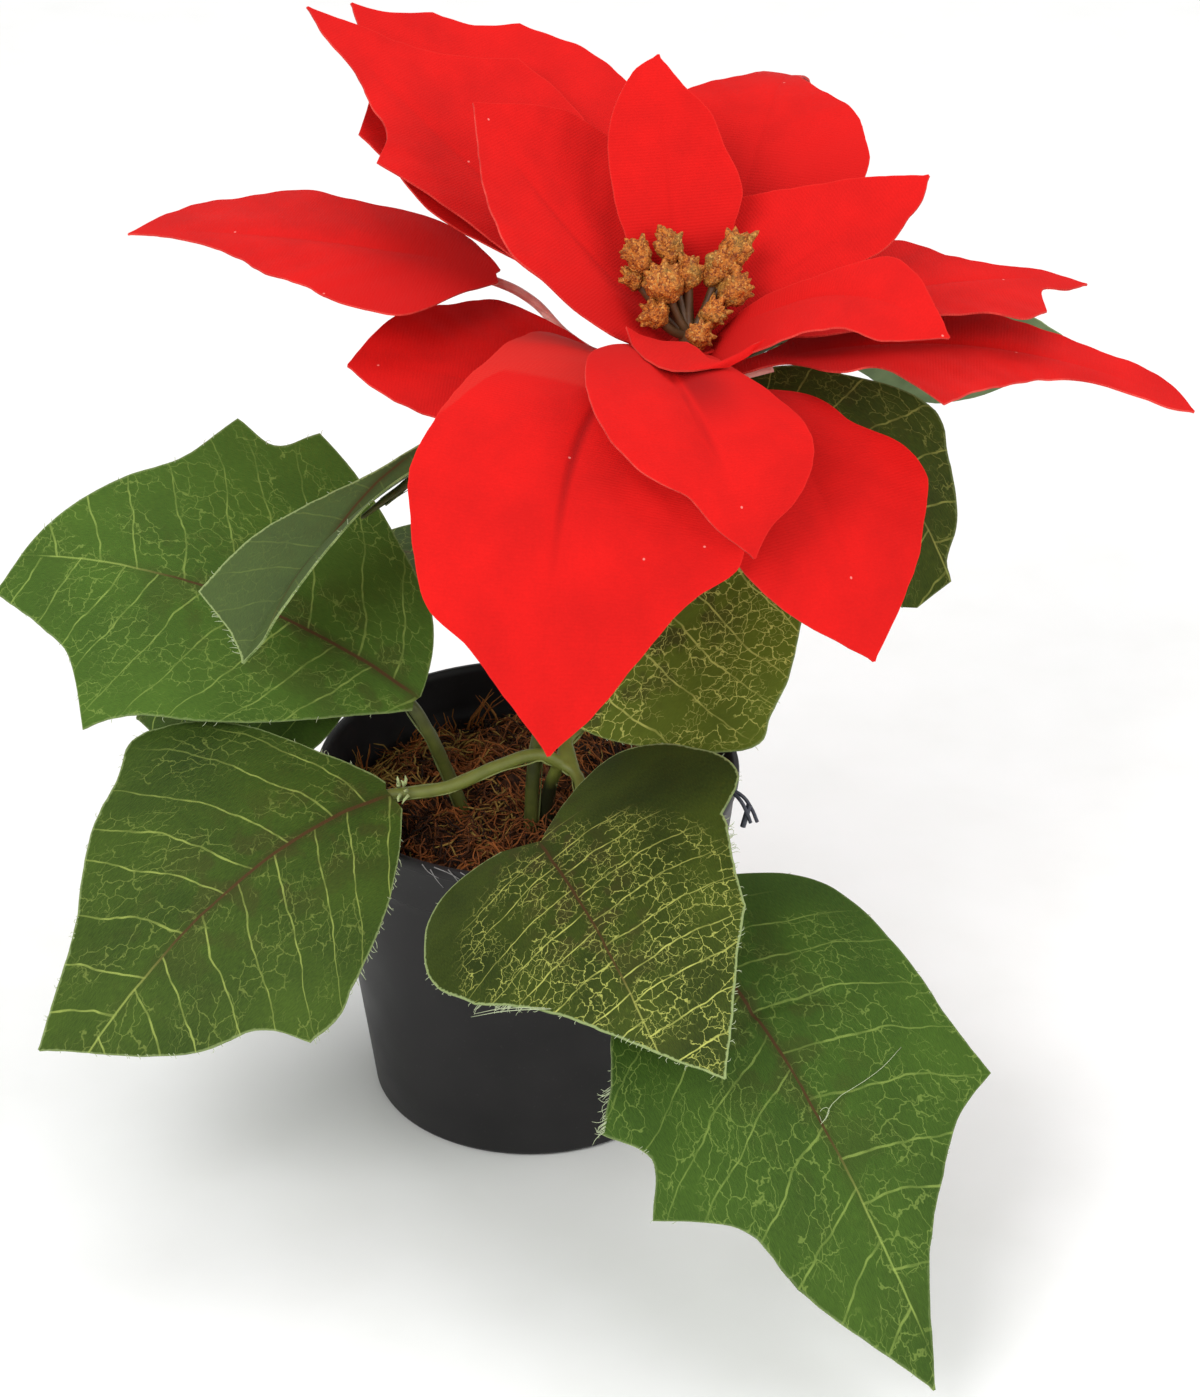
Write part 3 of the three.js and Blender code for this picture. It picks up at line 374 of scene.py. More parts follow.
def outline_width(points, shares):
    """Half width in mm at each share of the rib: smooth through the points, sharp at the corners."""
    place = np.array([p[0] for p in points], float)
    width = np.array([p[1] for p in points], float)
    steps = np.diff(width) / np.diff(place)
    last = len(points) - 1

    def slope(k, after):
        if k in (0, last):
            return steps[min(k, last - 1)]
        if points[k][2]:
            return steps[k] if after else steps[k - 1]
        before, ahead = place[k] - place[k - 1], place[k + 1] - place[k]
        return (steps[k - 1] * ahead + steps[k] * before) / (before + ahead)

    result = np.zeros_like(shares)
    for k in range(last):
        span = place[k + 1] - place[k]
        here = (shares >= place[k]) & (shares <= place[k + 1])
        q = (shares[here] - place[k]) / span
        result[here] = ((2 * q**3 - 3 * q**2 + 1) * width[k] + (q**3 - 2 * q**2 + q) * span * slope(k, True)
                        + (-2 * q**3 + 3 * q**2) * width[k + 1] + (q**3 - q**2) * span * slope(k + 1, False))
    return np.maximum(result, TIP_HALF_WIDTH)


def rib_frame(blade, share):
    """Place, direction, sideways and upward directions of the rib at each share, as arrays."""
    share = np.asarray(share, float)[..., None]
    root, crest, tip = (np.array(blade[key], float) for key in ("root", "crest", "tip"))
    place = root * (1 - share)**2 + 2 * crest * share * (1 - share) + tip * share**2
    along = (crest - root) * (1 - share) + (tip - crest) * share
    along /= np.linalg.norm(along, axis=-1, keepdims=True)
    side = np.stack([-along[..., 1], along[..., 0], 0 * along[..., 0]], -1)
    side /= np.linalg.norm(side, axis=-1, keepdims=True)
    roll = math.radians(blade.get("roll", 0))
    across = side * math.cos(roll) + np.cross(along, side) * math.sin(roll)
    return place, along, across, np.cross(along, across)


def rib_length(blade):
    place = rib_frame(blade, np.linspace(0, 1, 41))[0]
    return np.linalg.norm(np.diff(place, axis=0), axis=1).sum()


def blade_places(blade, share, out, lift=0.0):
    """Points in mm at a rib share and a signed distance from the rib, and how far along the rib they lie."""
    length = rib_length(blade)
    fan = np.clip(share / SLANT_SHARE, 0, 1)
    slant = np.radians(blade.get("slant0", ROOT_SLANT) * (1 - fan) + BLADE_SLANT * fan)
    away = np.abs(out)
    reach = share + away * np.tan(slant) / length
    place, _, across, up = rib_frame(blade, reach)
    fold = math.radians(blade.get("fold", 0))
    rise = away * math.sin(fold) + blade.get("cup", 0) * (away / CUP_REACH)**2 + lift
    return place + across * (out * math.cos(fold))[..., None] + up * rise[..., None], reach * length


def blade_rows(blade):
    """Rib shares of the mesh rows: every outline point, and steps of about ROW_STEP mm between them."""
    marks = sorted({p[0] for p in blade["left"] + blade["right"]})
    length = rib_length(blade)
    rows = [0.0]
    for start, end in zip(marks, marks[1:]):
        count = max(1, math.ceil((end - start) * length / ROW_STEP))
        rows += [start + (end - start) * k / count for k in range(1, count + 1)]
    return np.array(rows)


def soft_step(value, low, high):
    q = np.clip((value - low) / (high - low), 0, 1)
    return q * q * (3 - 2 * q)


def ripple(x, y, seed, step):
    """Smooth noise from -1 to 1 at each x, y in mm, its bumps about step mm apart."""
    spots = zip(np.ravel(x) / step, np.ravel(y) / step)
    return np.array([noise.noise(Vector((a, b, seed * 7.3))) for a, b in spots]).reshape(np.shape(x))


def placed(name, data):
    """A new object in the scene, the only selected and the active one."""
    bpy.ops.object.select_all(action="DESELECT")
    piece = bpy.data.objects.new(name, data)
    bpy.context.collection.objects.link(piece)
    piece.select_set(True)
    bpy.context.view_layer.objects.active = piece
    return piece


def modify(piece, kind, **settings):
    """Applies a modifier with its settings."""
    bpy.context.view_layer.objects.active = piece
    made = piece.modifiers.new(kind, kind)
    for name, value in settings.items():
        setattr(made, name, value)
    bpy.ops.object.modifier_apply(modifier=made.name)


def weld(gap, outwards=False):
    """Merges the active piece's points that lie closer than gap mm and may turn its faces outwards."""
    bpy.ops.object.mode_set(mode="EDIT")
    bpy.ops.mesh.select_all(action="SELECT")
    bpy.ops.mesh.remove_doubles(threshold=gap * MM)
    if outwards:
        bpy.ops.mesh.normals_make_consistent(inside=False)
    bpy.ops.object.mode_set(mode="OBJECT")


def flat_grid(name, rows, columns):
    """A grid of rows by columns, and the row and the share from -1 to 1 across it of each point."""
    bpy.ops.mesh.primitive_grid_add(x_subdivisions=rows - 1, y_subdivisions=columns, size=2)
    piece = bpy.context.object
    piece.name = piece.data.name = name
    flat = np.zeros(len(piece.data.vertices) * 3)
    piece.data.vertices.foreach_get("co", flat)
    flat = flat.reshape(-1, 3)
    row = np.rint((flat[:, 0] + 1) / 2 * (rows - 1)).astype(int)
    return piece, row, np.rint(flat[:, 1] * columns / 2) / (columns / 2)


def finish_cloth(piece, places, chart, thickness, materials, **values):
    """Lays a grid at its places in mm, with a chart in mm and values for its materials, and thickens it."""
    mesh = piece.data
    mesh.vertices.foreach_set("co", (places * MM).ravel())
    corner = np.zeros(len(mesh.loops), int)
    mesh.loops.foreach_get("vertex_index", corner)
    layer = mesh.uv_layers.active or mesh.uv_layers.new()
    layer.name = "Print"
    layer.data.foreach_set("uv", chart[corner].ravel())
    set_values(piece, **values)
    for material in materials:
        mesh.materials.append(material)
    modify(piece, "SOLIDIFY", thickness=thickness, offset=0, use_even_offset=True, material_offset=1,
           material_offset_rim=2)
    bpy.ops.object.shade_smooth_by_angle(angle=math.radians(50))
    return piece


def blade_object(name, blade, seed, thickness, materials, crease=(0.35, 1.6), wave=0.7, ribs=0.0,
                 print_lay=(0, 0, 0, 1, 1), crease_aside=0.0, sweeps=(0.3, 0.3), **values):
    """One cut blade: a grid laid on the blade's surface, waved, creased along its rib and thickened."""
    rows = blade_rows(blade)
    piece, row, spread = flat_grid(name, len(rows), 2 * HALF_COLUMNS)
    spread = np.sign(spread) * np.abs(spread)**COLUMN_CROWDING
    share = rows[row]
    length = rib_length(blade)

    width = {}
    for side, key in ((1, "left"), (-1, "right")):
        nibble = ripple(rows * length, np.full(len(rows), side * 40.0), seed, NIBBLE_STEP) * NIBBLE
        width[side] = np.maximum(outline_width(blade[key], rows) + nibble, TIP_HALF_WIDTH)
    reach = np.where(spread >= 0, width[1][row], width[-1][row])
    out = spread * reach
    away = np.abs(out)
    flat_along = share * length
    fade = soft_step(away, 2, 14) * soft_step(flat_along, 4, 22)
    lift = wave * fade * ripple(flat_along, out, seed, LONG_WAVE)
    lift += SHORT_WAVE_SHARE * wave * fade * ripple(flat_along, out, seed + 50, SHORT_WAVE)
    from_crease = out - crease_aside * (1 - share)
    valley = crease[0] * np.exp(-np.abs(from_crease) / crease[1])
    lift -= valley * soft_step(share, 0.08, 0.35) * (1 - soft_step(share, 0.55, 0.95))
    if name in DENTS:
        at, start, end, depth, half = DENTS[name]
        window = soft_step(out, start - 3, start) * (1 - soft_step(out, end, end + 4))
        lift -= depth * np.exp(-((share - at) * length / half)**2) * window
    lift += ribs * fade * np.sin(2 * math.pi * (flat_along - 0.6 * away) / SIDE_RIB_PITCH + np.sign(out))
    place, along = blade_places(blade, share, out, lift)
    x0, y0, turn, scale, strength = print_lay
    c, s = math.cos(math.radians(turn)), math.sin(math.radians(turn))
    x, y = (along - x0) / scale, (out - y0) / scale
    chart = np.stack([x * c + y * s, y * c - x * s], -1)
    return finish_cloth(piece, place, chart, thickness, materials, edge_gap=reach - away,
                        rib_gap=np.abs(from_crease), rib_share=share, side=from_crease,
                        print_strength=strength, sweep=np.where(chart[:, 1] > 0, *sweeps), **values)


def collar(thickness, materials):
    """The raised rim of cloth in front of the buds, between two curves."""
    piece, row, spread = flat_grid("collar", 40, 12)
    share = (spread + 1) / 2
    at = row / 39 * (len(COLLAR) - 1)
    knots = np.arange(len(COLLAR))
    high, low = (np.stack([np.interp(at, knots, [pair[k][axis] for pair in COLLAR]) for axis in range(3)], -1)
                 for k in (0, 1))
    bulge = (0.5 * np.sin(math.pi * share) * np.sin(math.pi * row / 39))[:, None]
    place = high + (low - high) * share[:, None] + bulge * np.array([0, -0.5, 0.86])
    return finish_cloth(piece, place, np.stack([at * 3.5, share * 6], -1), thickness, materials,
                        edge_gap=share * 6 + 0.05, rib_gap=9.0, rib_share=1.0, tone=0.0)


def turned(name, profile, steps, centre=(0, 0), base=0.0):
    """A shape turned about a vertical axis from a profile of radius and height in mm."""
    mesh = bpy.data.meshes.new(name)
    points = [((centre[0] + r) * MM, centre[1] * MM, (base + z) * MM) for r, z in profile]
    mesh.from_pydata(points, [(k, k + 1) for k in range(len(points) - 1)], [])
    piece = placed(name, mesh)
    bpy.ops.object.mode_set(mode="EDIT")
    bpy.ops.mesh.select_all(action="SELECT")
    middle = (centre[0] * MM, centre[1] * MM, 0)
    bpy.ops.mesh.spin(steps=steps, angle=2 * math.pi, center=middle, axis=(0, 0, 1))
    bpy.ops.object.mode_set(mode="OBJECT")
    weld(0.01, True)
    bpy.ops.object.shade_smooth_by_angle(angle=math.radians(35))
    return piece


def strands(name, runs, sides=6, smooth=4, straight=False, **values):
    """Round strands as one mesh. A run is its points in mm and one radius in mm, or one for each point. Each
    of values holds a number for each run, kept on its vertices for the material to read."""
    curve = bpy.data.curves.new(name, "CURVE")
    curve.dimensions = "3D"
    curve.bevel_depth = MM
    curve.bevel_resolution = max(0, (sides - 4) // 2)
    curve.use_fill_caps = True
    curve.resolution_u = smooth
    for points, radius in runs:
        spline = curve.splines.new("POLY" if straight else "BEZIER")
        spots = spline.points if straight else spline.bezier_points
        spots.add(len(points) - 1)
        for spot, place, spot_radius in zip(spots, points, np.broadcast_to(radius, len(points))):
            spot.radius = spot_radius
            if straight:
                spot.co = (*(Vector(place) * MM), 1)
            else:
                spot.co = Vector(place) * MM
                spot.handle_left_type = spot.handle_right_type = "AUTO"
    placed(name, curve)
    bpy.ops.object.convert(target="MESH")
    piece = bpy.context.object
    piece.data.name = name
    order = np.arange(len(runs))
    rings = [len(points) if straight else (len(points) - 1) * smooth + 1 for points, _ in runs]
    owner = np.concatenate([np.repeat(order[::-1], 2 * sides), np.repeat(order, np.array(rings) * sides)])
    set_values(piece, **{key: np.array(value, float)[owner] for key, value in values.items()})
    weld(0.001)
    bpy.ops.object.shade_smooth()
    return piece


def set_values(piece, **values):
    """Stores a number for each vertex, for the material to read."""
    for key, value in values.items():
        data = np.broadcast_to(np.asarray(value, float), len(piece.data.vertices))
        attribute = piece.data.attributes.get(key) or piece.data.attributes.new(key, "FLOAT", "POINT")
        attribute.data.foreach_set("value", np.ascontiguousarray(data))


def join(pieces, name):
    bpy.ops.object.select_all(action="DESELECT")
    for piece in pieces:
        piece.select_set(True)
    bpy.context.view_layer.objects.active = pieces[0]
    if len(pieces) > 1:
        bpy.ops.object.join()
    whole = bpy.context.object
    whole.name = whole.data.name = name
    return whole


def seat(piece, slot, *nodes):
    """Ties a finished piece to the frame."""
    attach(piece, BODY)
    if nodes:
        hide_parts(*nodes)
    return piece


# Materials

# For a kind of node: the property that a second word sets, the inputs that values fill, and the output used
NODES = {
    "Attribute": ("attribute_name", (), "Fac"),
    "Bump": ("", ("Strength", "Distance", "Height"), "Normal"),
    "MapRange": ("interpolation_type", range(5), 0),
    "Mix": ("data_type", (0, 6, 7), 2),
    "TexCoord": ("", (), "Object"),
    "TexNoise": ("noise_dimensions", ("Vector", "Scale", "Detail", "Roughness"), 0),
    "TexVoronoi": ("voronoi_dimensions", ("Vector", "Scale", "Randomness"), "Distance"),
    "TexWhiteNoise": ("noise_dimensions", ("W",), 0),
    "UVMap": ("uv_map", (), 0),
}
PLAIN_NODE = ("operation", range(3), 0)


def add_node(tree, kind, *values, out=None, links=None, **settings):
    """Adds a node and returns one of its outputs. Its kind may have a second word, see NODES. Values fill
    inputs in order and links fills them by name, each with a constant or with another node's output."""
    kind, _, word = kind.partition(" ")
    main, order, result = NODES.get(kind, PLAIN_NODE)
    made = tree.nodes.new("ShaderNode" + kind)
    if word:
        settings[main] = word
    for name, value in settings.items():
        setattr(made, name, value)
    for socket, value in [*zip(order, values), *(links or {}).items()]:
        if isinstance(value, bpy.types.NodeSocket):
            tree.links.new(value, made.inputs[socket])
        else:
            made.inputs[socket].default_value = value
    return made.outputs[result if out is None else out] if made.outputs else None


def new_material(name):
    """A material without nodes, and the helper that adds nodes to it."""
    material = bpy.data.materials.new(name)
    material.use_nodes = True
    material.node_tree.nodes.clear()
    return material, partial(add_node, material.node_tree)


def surface(material, add, colour, bump, roughness, specular=0.5, ior=1.5, sheen=(), scatter=(),
            invert=False):
    """Ends a material with its shader: bump is strength, depth in mm and height, sheen is weight, roughness
    and tint, scatter is weight, radius and scale."""
    links = {"Base Color": colour, "Roughness": roughness, "IOR": ior, "Specular IOR Level": specular}
    links.update(zip(("Sheen Weight", "Sheen Roughness", "Sheen Tint"), sheen))
    links.update(zip(("Subsurface Weight", "Subsurface Radius", "Subsurface Scale"), scatter))
    if bump:
        strength, depth, height = bump
        links["Normal"] = add("Bump", strength, depth * MM, height, invert=invert)
    add("OutputMaterial", add("BsdfPrincipled", links=links))
    return material


def woven(add, place, thread):
    """Height of a plain weave, 0 to 1, its threads thread mm apart."""
    turns = add("SeparateXYZ", add("VectorMath MULTIPLY", place, (2 * math.pi / thread,) * 3))
    waves = [add("Math SINE", turns.node.outputs[axis]) for axis in (0, 1)]
    return add("Math MULTIPLY_ADD", add("Math MULTIPLY", *waves), 0.5, 0.5)


# How far the printed lines wander and the net's cells are distorted, in mm
WANDER = 3.4
NET_WOBBLE = 2.2
# How fast a side vein bends towards the tip, for each mm from the rib, and how soft its sides are, in mm
VEIN_BEND = 0.004
VEIN_SOFTNESS = 0.17
# Sets the random places of the veins on one side of the rib apart from those on the other
SIDE_SEED = 31.0
# The two nets: cells to the mm along and across, where the net begins to show and shows in full, and its ink
NETS = (((0.22, 0.30, 0), 0.52, 0.6, 0.75), ((0.42, 0.54, 0), 0.58, 0.66, 0.45))
# The printed oval: how far its middle is from the root, and half its length and width, in mm
PRINT_CENTRE = 56
PRINT_HALVES = (62, 44)


def vein_print(add, place, pitch):
    """Shares of rib, side vein and net ink at a place in mm, with the place along and away from the rib."""
    drift = add("TexNoise 2D", place, 0.07, 3.0, 0.5, out="Color")
    moved = add("VectorMath MULTIPLY_ADD", drift, (WANDER, WANDER, 0), place)
    moved = add("VectorMath SUBTRACT", moved, (WANDER / 2, WANDER / 2, 0))
    along = add("SeparateXYZ", moved)
    aside = along.node.outputs["Y"]
    gap = add("Math ABSOLUTE", aside)
    side = add("Math GREATER_THAN", aside, 0.0)
    bend = add("Math MULTIPLY_ADD", gap, VEIN_BEND, add("Attribute sweep"))
    start = add("Math SUBTRACT", along, add("Math MULTIPLY", gap, bend))
    start = add("Math MULTIPLY_ADD", side, pitch / 2, start)
    turn = add("Math DIVIDE", start, pitch)
    draw = add("Math MULTIPLY_ADD", side, SIDE_SEED, add("Math FLOOR", turn))
    centre = add("Math MULTIPLY_ADD", add("TexWhiteNoise 1D", draw), 0.24, 0.38)
    off = add("Math ABSOLUTE", add("Math SUBTRACT", add("Math FRACT", turn), centre))
    off = add("Math MULTIPLY", off, 0.85 * pitch)
    half = add("MapRange", gap, 0.0, 42.0, 0.12, 0.04)
    vein = add("MapRange SMOOTHSTEP", off, half, add("Math ADD", half, VEIN_SOFTNESS), 1.0, 0.0)
    worn = add("MapRange", add("TexNoise 2D", place, 0.22, 2.0), 0.36, 0.6, 0.45, 1.0)
    worn = add("Math MULTIPLY", add("MapRange", gap, 18.0, 40.0, 1.0, 0.3), worn)
    vein = add("Math MULTIPLY", vein, worn)

    cells = add("CombineXYZ", start, aside)
    wobble = add("TexNoise 2D", place, 0.5, 2.0, out="Color")
    cells = add("VectorMath MULTIPLY_ADD", wobble, (NET_WOBBLE, NET_WOBBLE, 0), cells)
    amount = add("Attribute net")
    nets = []
    for size, low, high, ink in NETS:
        spot = add("VectorMath MULTIPLY", cells, size)
        crack = add("TexVoronoi 2D", spot, 1.0, 0.9, feature="DISTANCE_TO_EDGE")
        line = add("MapRange SMOOTHSTEP", crack, 0.01, 0.045, ink, 0.0)
        torn = add("Math MULTIPLY_ADD", amount, 0.12, add("TexNoise 2D", spot, 0.28, 1.0))
        nets.append(add("Math MULTIPLY", line, add("MapRange SMOOTHSTEP", torn, low, high)))
    net = add("Math MAXIMUM", *nets)

    straight = add("Math MULTIPLY", add("Math ABSOLUTE", add("SeparateXYZ", place, out="Y")), 0.7)
    rib_gap = add("Math MULTIPLY_ADD", gap, 0.3, straight)
    thick = add("MapRange", along, 0.0, 90.0, 0.32, 0.05)
    rib = add("MapRange SMOOTHSTEP", rib_gap, thick, add("Math ADD", thick, 0.25), 1.0, 0.0)
    begun = add("MapRange", along, -1.0, 3.0)
    paler = add("MapRange", along, 50.0, 80.0, 1.0, 0.55)
    for share in (begun, paler):
        rib = add("Math MULTIPLY", rib, share)

    # The print stops at a leaf-shaped outline that needn't be the cut one
    oval = add("VectorMath ADD", moved, (-PRINT_CENTRE, 0, 0))
    oval = add("VectorMath MULTIPLY", oval, (1 / PRINT_HALVES[0], 1 / PRINT_HALVES[1], 0))
    oval = add("VectorMath LENGTH", oval, out="Value")
    inside = add("MapRange SMOOTHSTEP", oval, 0.84, 1.0, 1.0, 0.0)
    rib, vein, net = (add("Math MULTIPLY", ink, inside) for ink in (rib, vein, net))
    return rib, vein, net, along, gap, rib_gap


def printed_leaf_cloth(look):
    """Polyester satin, roller-printed and heat-formed: low sheen, crisp yellow-green veins, fine weave."""
    material, add = new_material("printed_leaf_cloth")
    place = add("UVMap Print")
    tone, strength, warmth, dusty = (add("Attribute " + name) for name in
                                     ("tone", "print_strength", "warmth", "dusty"))
    rib, vein, net, along, gap, rib_gap = vein_print(add, place, look.vein_pitch / MM)

    cloud = add("TexNoise 2D", place, 0.045, 3.0)
    shade = add("Math ADD", add("Math MULTIPLY_ADD", cloud, 0.6, -0.3), tone)
    # Satin floats of the weave: their relief is real, and the lighter dashes they add to the colour are
    # painted glints
    floats_and_glints = add("TexNoise 2D", add("VectorMath MULTIPLY", place, (0.7, 4.5, 1)), 1.0, 2.0)
    shade = add("Math MULTIPLY_ADD", floats_and_glints, 0.55, shade)
    shade = add("Math SUBTRACT", shade, 0.27, use_clamp=True)
    green = add("Mix RGBA", shade, (*look.deep_green, 1), (*look.light_green, 1))
    olive = add("Mix RGBA", shade, linear("#2A3306"), linear("#606D1C"))
    colour = add("Mix RGBA", warmth, green, olive)
    # Painted sheen: where a leaf is seen at a glance, its cloth is painted a pale grey-green
    colour = add("Mix RGBA", dusty, colour, linear("#5E6848"))

    # Olive-brown shading is printed along the lower half of the rib
    stain = add("MapRange SMOOTHSTEP", add("TexNoise 2D", place, 0.12, 2.0), 0.46, 0.62)
    near = add("MapRange SMOOTHSTEP", gap, 4.0, 22.0, 0.75, 0.0)
    low = add("MapRange SMOOTHSTEP", along, 35.0, 85.0, 1.0, 0.15)
    for share in (near, low, strength):
        stain = add("Math MULTIPLY", stain, share)
    colour = add("Mix RGBA", stain, colour, linear("#3C3A16"))

    ink = add("Math MAXIMUM", add("Math MULTIPLY", net, add("Attribute net")), vein)
    ink = add("Math MULTIPLY", ink, strength)
    vein_colour = add("Mix RGBA", warmth, (*look.vein_colour, 1), linear("#BDBC60"))
    colour = add("Mix RGBA", ink, colour, vein_colour)
    halo = add("Math MULTIPLY", add("MapRange SMOOTHSTEP", rib_gap, 0.4, 2.6, 0.45, 0.0), low)
    colour = add("Mix RGBA", halo, colour, linear("#33300F"))
    aged = add("MapRange SMOOTHSTEP", along, 58.0, 82.0)
    colour = add("Mix RGBA", rib, colour, add("Mix RGBA", aged, linear("#4A3418"), vein_colour))

    # The cut edge shows pale broken threads
    edge = add("Math MULTIPLY_ADD", add("TexNoise 2D", place, 0.9, 3.0), -0.7, add("Attribute edge_gap"))
    edge = add("MapRange SMOOTHSTEP", edge, -0.12, 0.28, 1.0, 0.0)
    edge = add("Math MULTIPLY", edge, add("Attribute frayed"))
    colour = add("Mix RGBA", edge, colour, linear("#8E9E66"))

    height = add("Math MULTIPLY_ADD", floats_and_glints, 0.8, woven(add, place, 0.5))
    return surface(material, add, colour, (0.5, 0.05, height), 0.66, 0.16,
                   sheen=(0.03, 0.45, linear("#C6D6B0")))


def plain_cloth(name, first, second, sheen_weight, sheen_tint, thread=0.5, relief=0.05):
    """Polyester cloth, woven and unprinted, at the back or the cut edge: matt, even, paler than the face."""
    material, add = new_material(name)
    place = add("UVMap Print")
    weave = woven(add, place, thread)
    shade = add("Math MULTIPLY_ADD", weave, 0.3, add("TexNoise 2D", place, 0.12, 4.0))
    colour = add("Mix RGBA", add("MapRange", shade, 0.4, 0.9), linear(first), linear(second))
    return surface(material, add, colour, (0.5, relief, weave), 0.72, 0.3,
                   sheen=(sheen_weight, 0.4, linear(sheen_tint)))


# Distance in mm between the cords of the flattened nap, and between the cloth's crosswise ribs
CORD_PITCH = 0.9
CLOTH_RIB_PITCH = 0.68


def dyed_bract_cloth(look):
    """Brushed polyester, dyed red and pressed in a hot mould: velvety, with soft crosswise ribs."""
    material, add = new_material("dyed_bract_cloth")
    place = add("UVMap Print")
    share, edge, side, folded = (add("Attribute " + name) for name in
                                 ("rib_share", "edge_gap", "side", "folded"))
    cloud = add("TexNoise 2D", place, 0.06, 4.0, 0.6)
    nap = add("TexNoise 2D", place, 1.6, 3.0)
    shade = add("MapRange", add("Math MULTIPLY_ADD", nap, 0.35, cloud), 0.45, 0.95, 0.35, 0.0)
    # Painted shade: the crease along the rib is painted darker, as far as the bract's pressed value says
    crease = add("MapRange SMOOTHSTEP", add("Attribute rib_gap"), 0.0, 2.4, 1.0, 0.0)
    length = add("MapRange SMOOTHSTEP", share, 0.55, 0.85, 1.0, 0.0)
    for part in (add("Attribute pressed"), length):
        crease = add("Math MULTIPLY", crease, part)

    # Painted shade: a bract is painted darker towards its root, where the inner star shades it, and on the
    # folded half near the root of a bract that lies in shade there
    root_shade = add("MapRange SMOOTHSTEP", share, 0.12, 0.55, 0.45, 0.0)
    half = add("MapRange SMOOTHSTEP", side, 0.0, 2.5)
    far = add("MapRange SMOOTHSTEP", side, 4.0, 14.0, 1.0, 0.35)
    low = add("MapRange SMOOTHSTEP", share, 0.35, 0.7, 1.0, 0.0)
    for part in (half, far, low):
        folded = add("Math MULTIPLY", folded, part)
    for darker in (crease, root_shade, folded):
        shade = add("Math MAXIMUM", shade, darker)
    colour = add("Mix RGBA", shade, (*look.red, 1), (*look.shade_red, 1))

    # Stray glitter specks, a few on each bract
    grit = add("MapRange", add("TexVoronoi 2D", place, 0.025, 1.0), 0.005, 0.008, 0.6, 0.0)
    colour = add("Mix RGBA", grit, colour, linear("#F29A90"))

    # On one half, near the root of a bract whose tone is high, the nap is flat and the weave shows paler: the
    # flat nap and its cords are real, the paleness is painted sheen of cloth seen at a glance
    flat = add("Math SUBTRACT", share, add("MapRange SMOOTHSTEP", edge, 0.0, 6.0, 0.13, 0.0))
    flat = add("MapRange SMOOTHSTEP", flat, 0.31, 0.335, 0.8, 0.0)
    other_half = add("Math MULTIPLY_ADD", half, -1.0, 1.0)
    cords = add("Math MULTIPLY", add("SeparateXYZ", place, out="Y"), 2 * math.pi / CORD_PITCH)
    cords = add("Math MULTIPLY_ADD", add("Math SINE", cords), 0.1, 0.7)
    for part in (other_half, add("Attribute tone"), cords):
        flat = add("Math MULTIPLY", flat, part)
    colour = add("Mix RGBA", flat, colour, linear("#CA2C24"))
    rim = add("MapRange SMOOTHSTEP", edge, 0.05, 0.35, 0.25, 0.0)
    colour = add("Mix RGBA", rim, colour, linear("#E43A30"))

    ribs = add("Math SINE", add("Math MULTIPLY", add("SeparateXYZ", place), 2 * math.pi / CLOTH_RIB_PITCH))
    height = add("Math MULTIPLY_ADD", ribs, 0.5, nap)
    return surface(material, add, colour, (0.6, 0.05, height), 0.8, 0.14,
                   sheen=(0.05, 0.35, linear("#FF8A7C")))


def moulded_polypropylene(look):
    """Polypropylene, thin, black and injection-moulded: satin, faintly mottled, with specks of dust."""
    material, add = new_material("moulded_polypropylene")
    place = add("TexCoord")
    cloud = add("TexNoise", place, 60.0, 4.0)
    dust = add("MapRange", add("TexNoise", place, 900.0, 3.0, 0.7), 0.62, 0.78, 0.0, 0.25)
    shade = add("Math ADD", add("MapRange", cloud, 0.35, 0.7, 0.0, 0.14), dust)
    colour = add("Mix RGBA", shade, (*look.pot_colour, 1), linear("#4A4647"))
    rough = add("MapRange", cloud, 0.3, 0.7, 0.42, 0.56)
    return surface(material, add, colour, (0.35, 0.08, cloud), rough, 0.3, 1.49)


def dried_moss():
    """Moss and coir, dried and dyed: matt brown fibre, each strand its own shade, a few of them ochre."""
    material, add = new_material("dried_moss")
    grain = add("TexNoise", add("TexCoord"), 700.0, 3.0)
    shade = add("Math MULTIPLY_ADD", grain, 0.5, add("Attribute tone"))
    shade = add("Math SUBTRACT", shade, 0.25, use_clamp=True)
    colour = add("Mix RGBA", shade, linear("#21120A"), linear("#A25E2C"))
    colour = add("Mix RGBA", add("Attribute ochre"), colour, linear("#94783A"))
    return surface(material, add, colour, (0.7, 0.3, grain), 0.85, 0.25)


def foamed_cement():
    """Foamed cement, cast in the pot and set: grey, matt, full of small pores."""
    material, add = new_material("foamed_cement")
    pores = add("MapRange", add("TexVoronoi", add("TexCoord"), 700.0, 1.0), 0.15, 0.4)
    colour = add("Mix RGBA", pores, linear("#6A6862"), linear("#8E8B85"))
    return surface(material, add, colour, (0.6, 0.3, pores), 0.92, 0.2)


def moulded_polyethylene():
    """Polyethylene, green and moulded: soft, waxy, a little cloudy, darker where the tone is low."""
    material, add = new_material("moulded_polyethylene")
    place = add("TexCoord")
    shade = add("Math MULTIPLY_ADD", add("TexNoise", place, 260.0, 3.0), 0.5, add("Attribute tone"))
    shade = add("Math SUBTRACT", shade, 0.25, use_clamp=True)
    colour = add("Mix RGBA", shade, linear("#1C1F0C"), linear("#7A8234"))
    colour = add("Mix RGBA", add("Attribute pale"), colour, linear("#A8B47C"))
    grain = add("TexNoise", place, 1500.0, 2.0)
    return surface(material, add, colour, (0.5, 0.12, grain), 0.5, 0.4, 1.51,
                   scatter=(0.15, (0.6, 0.9, 0.4), MM))


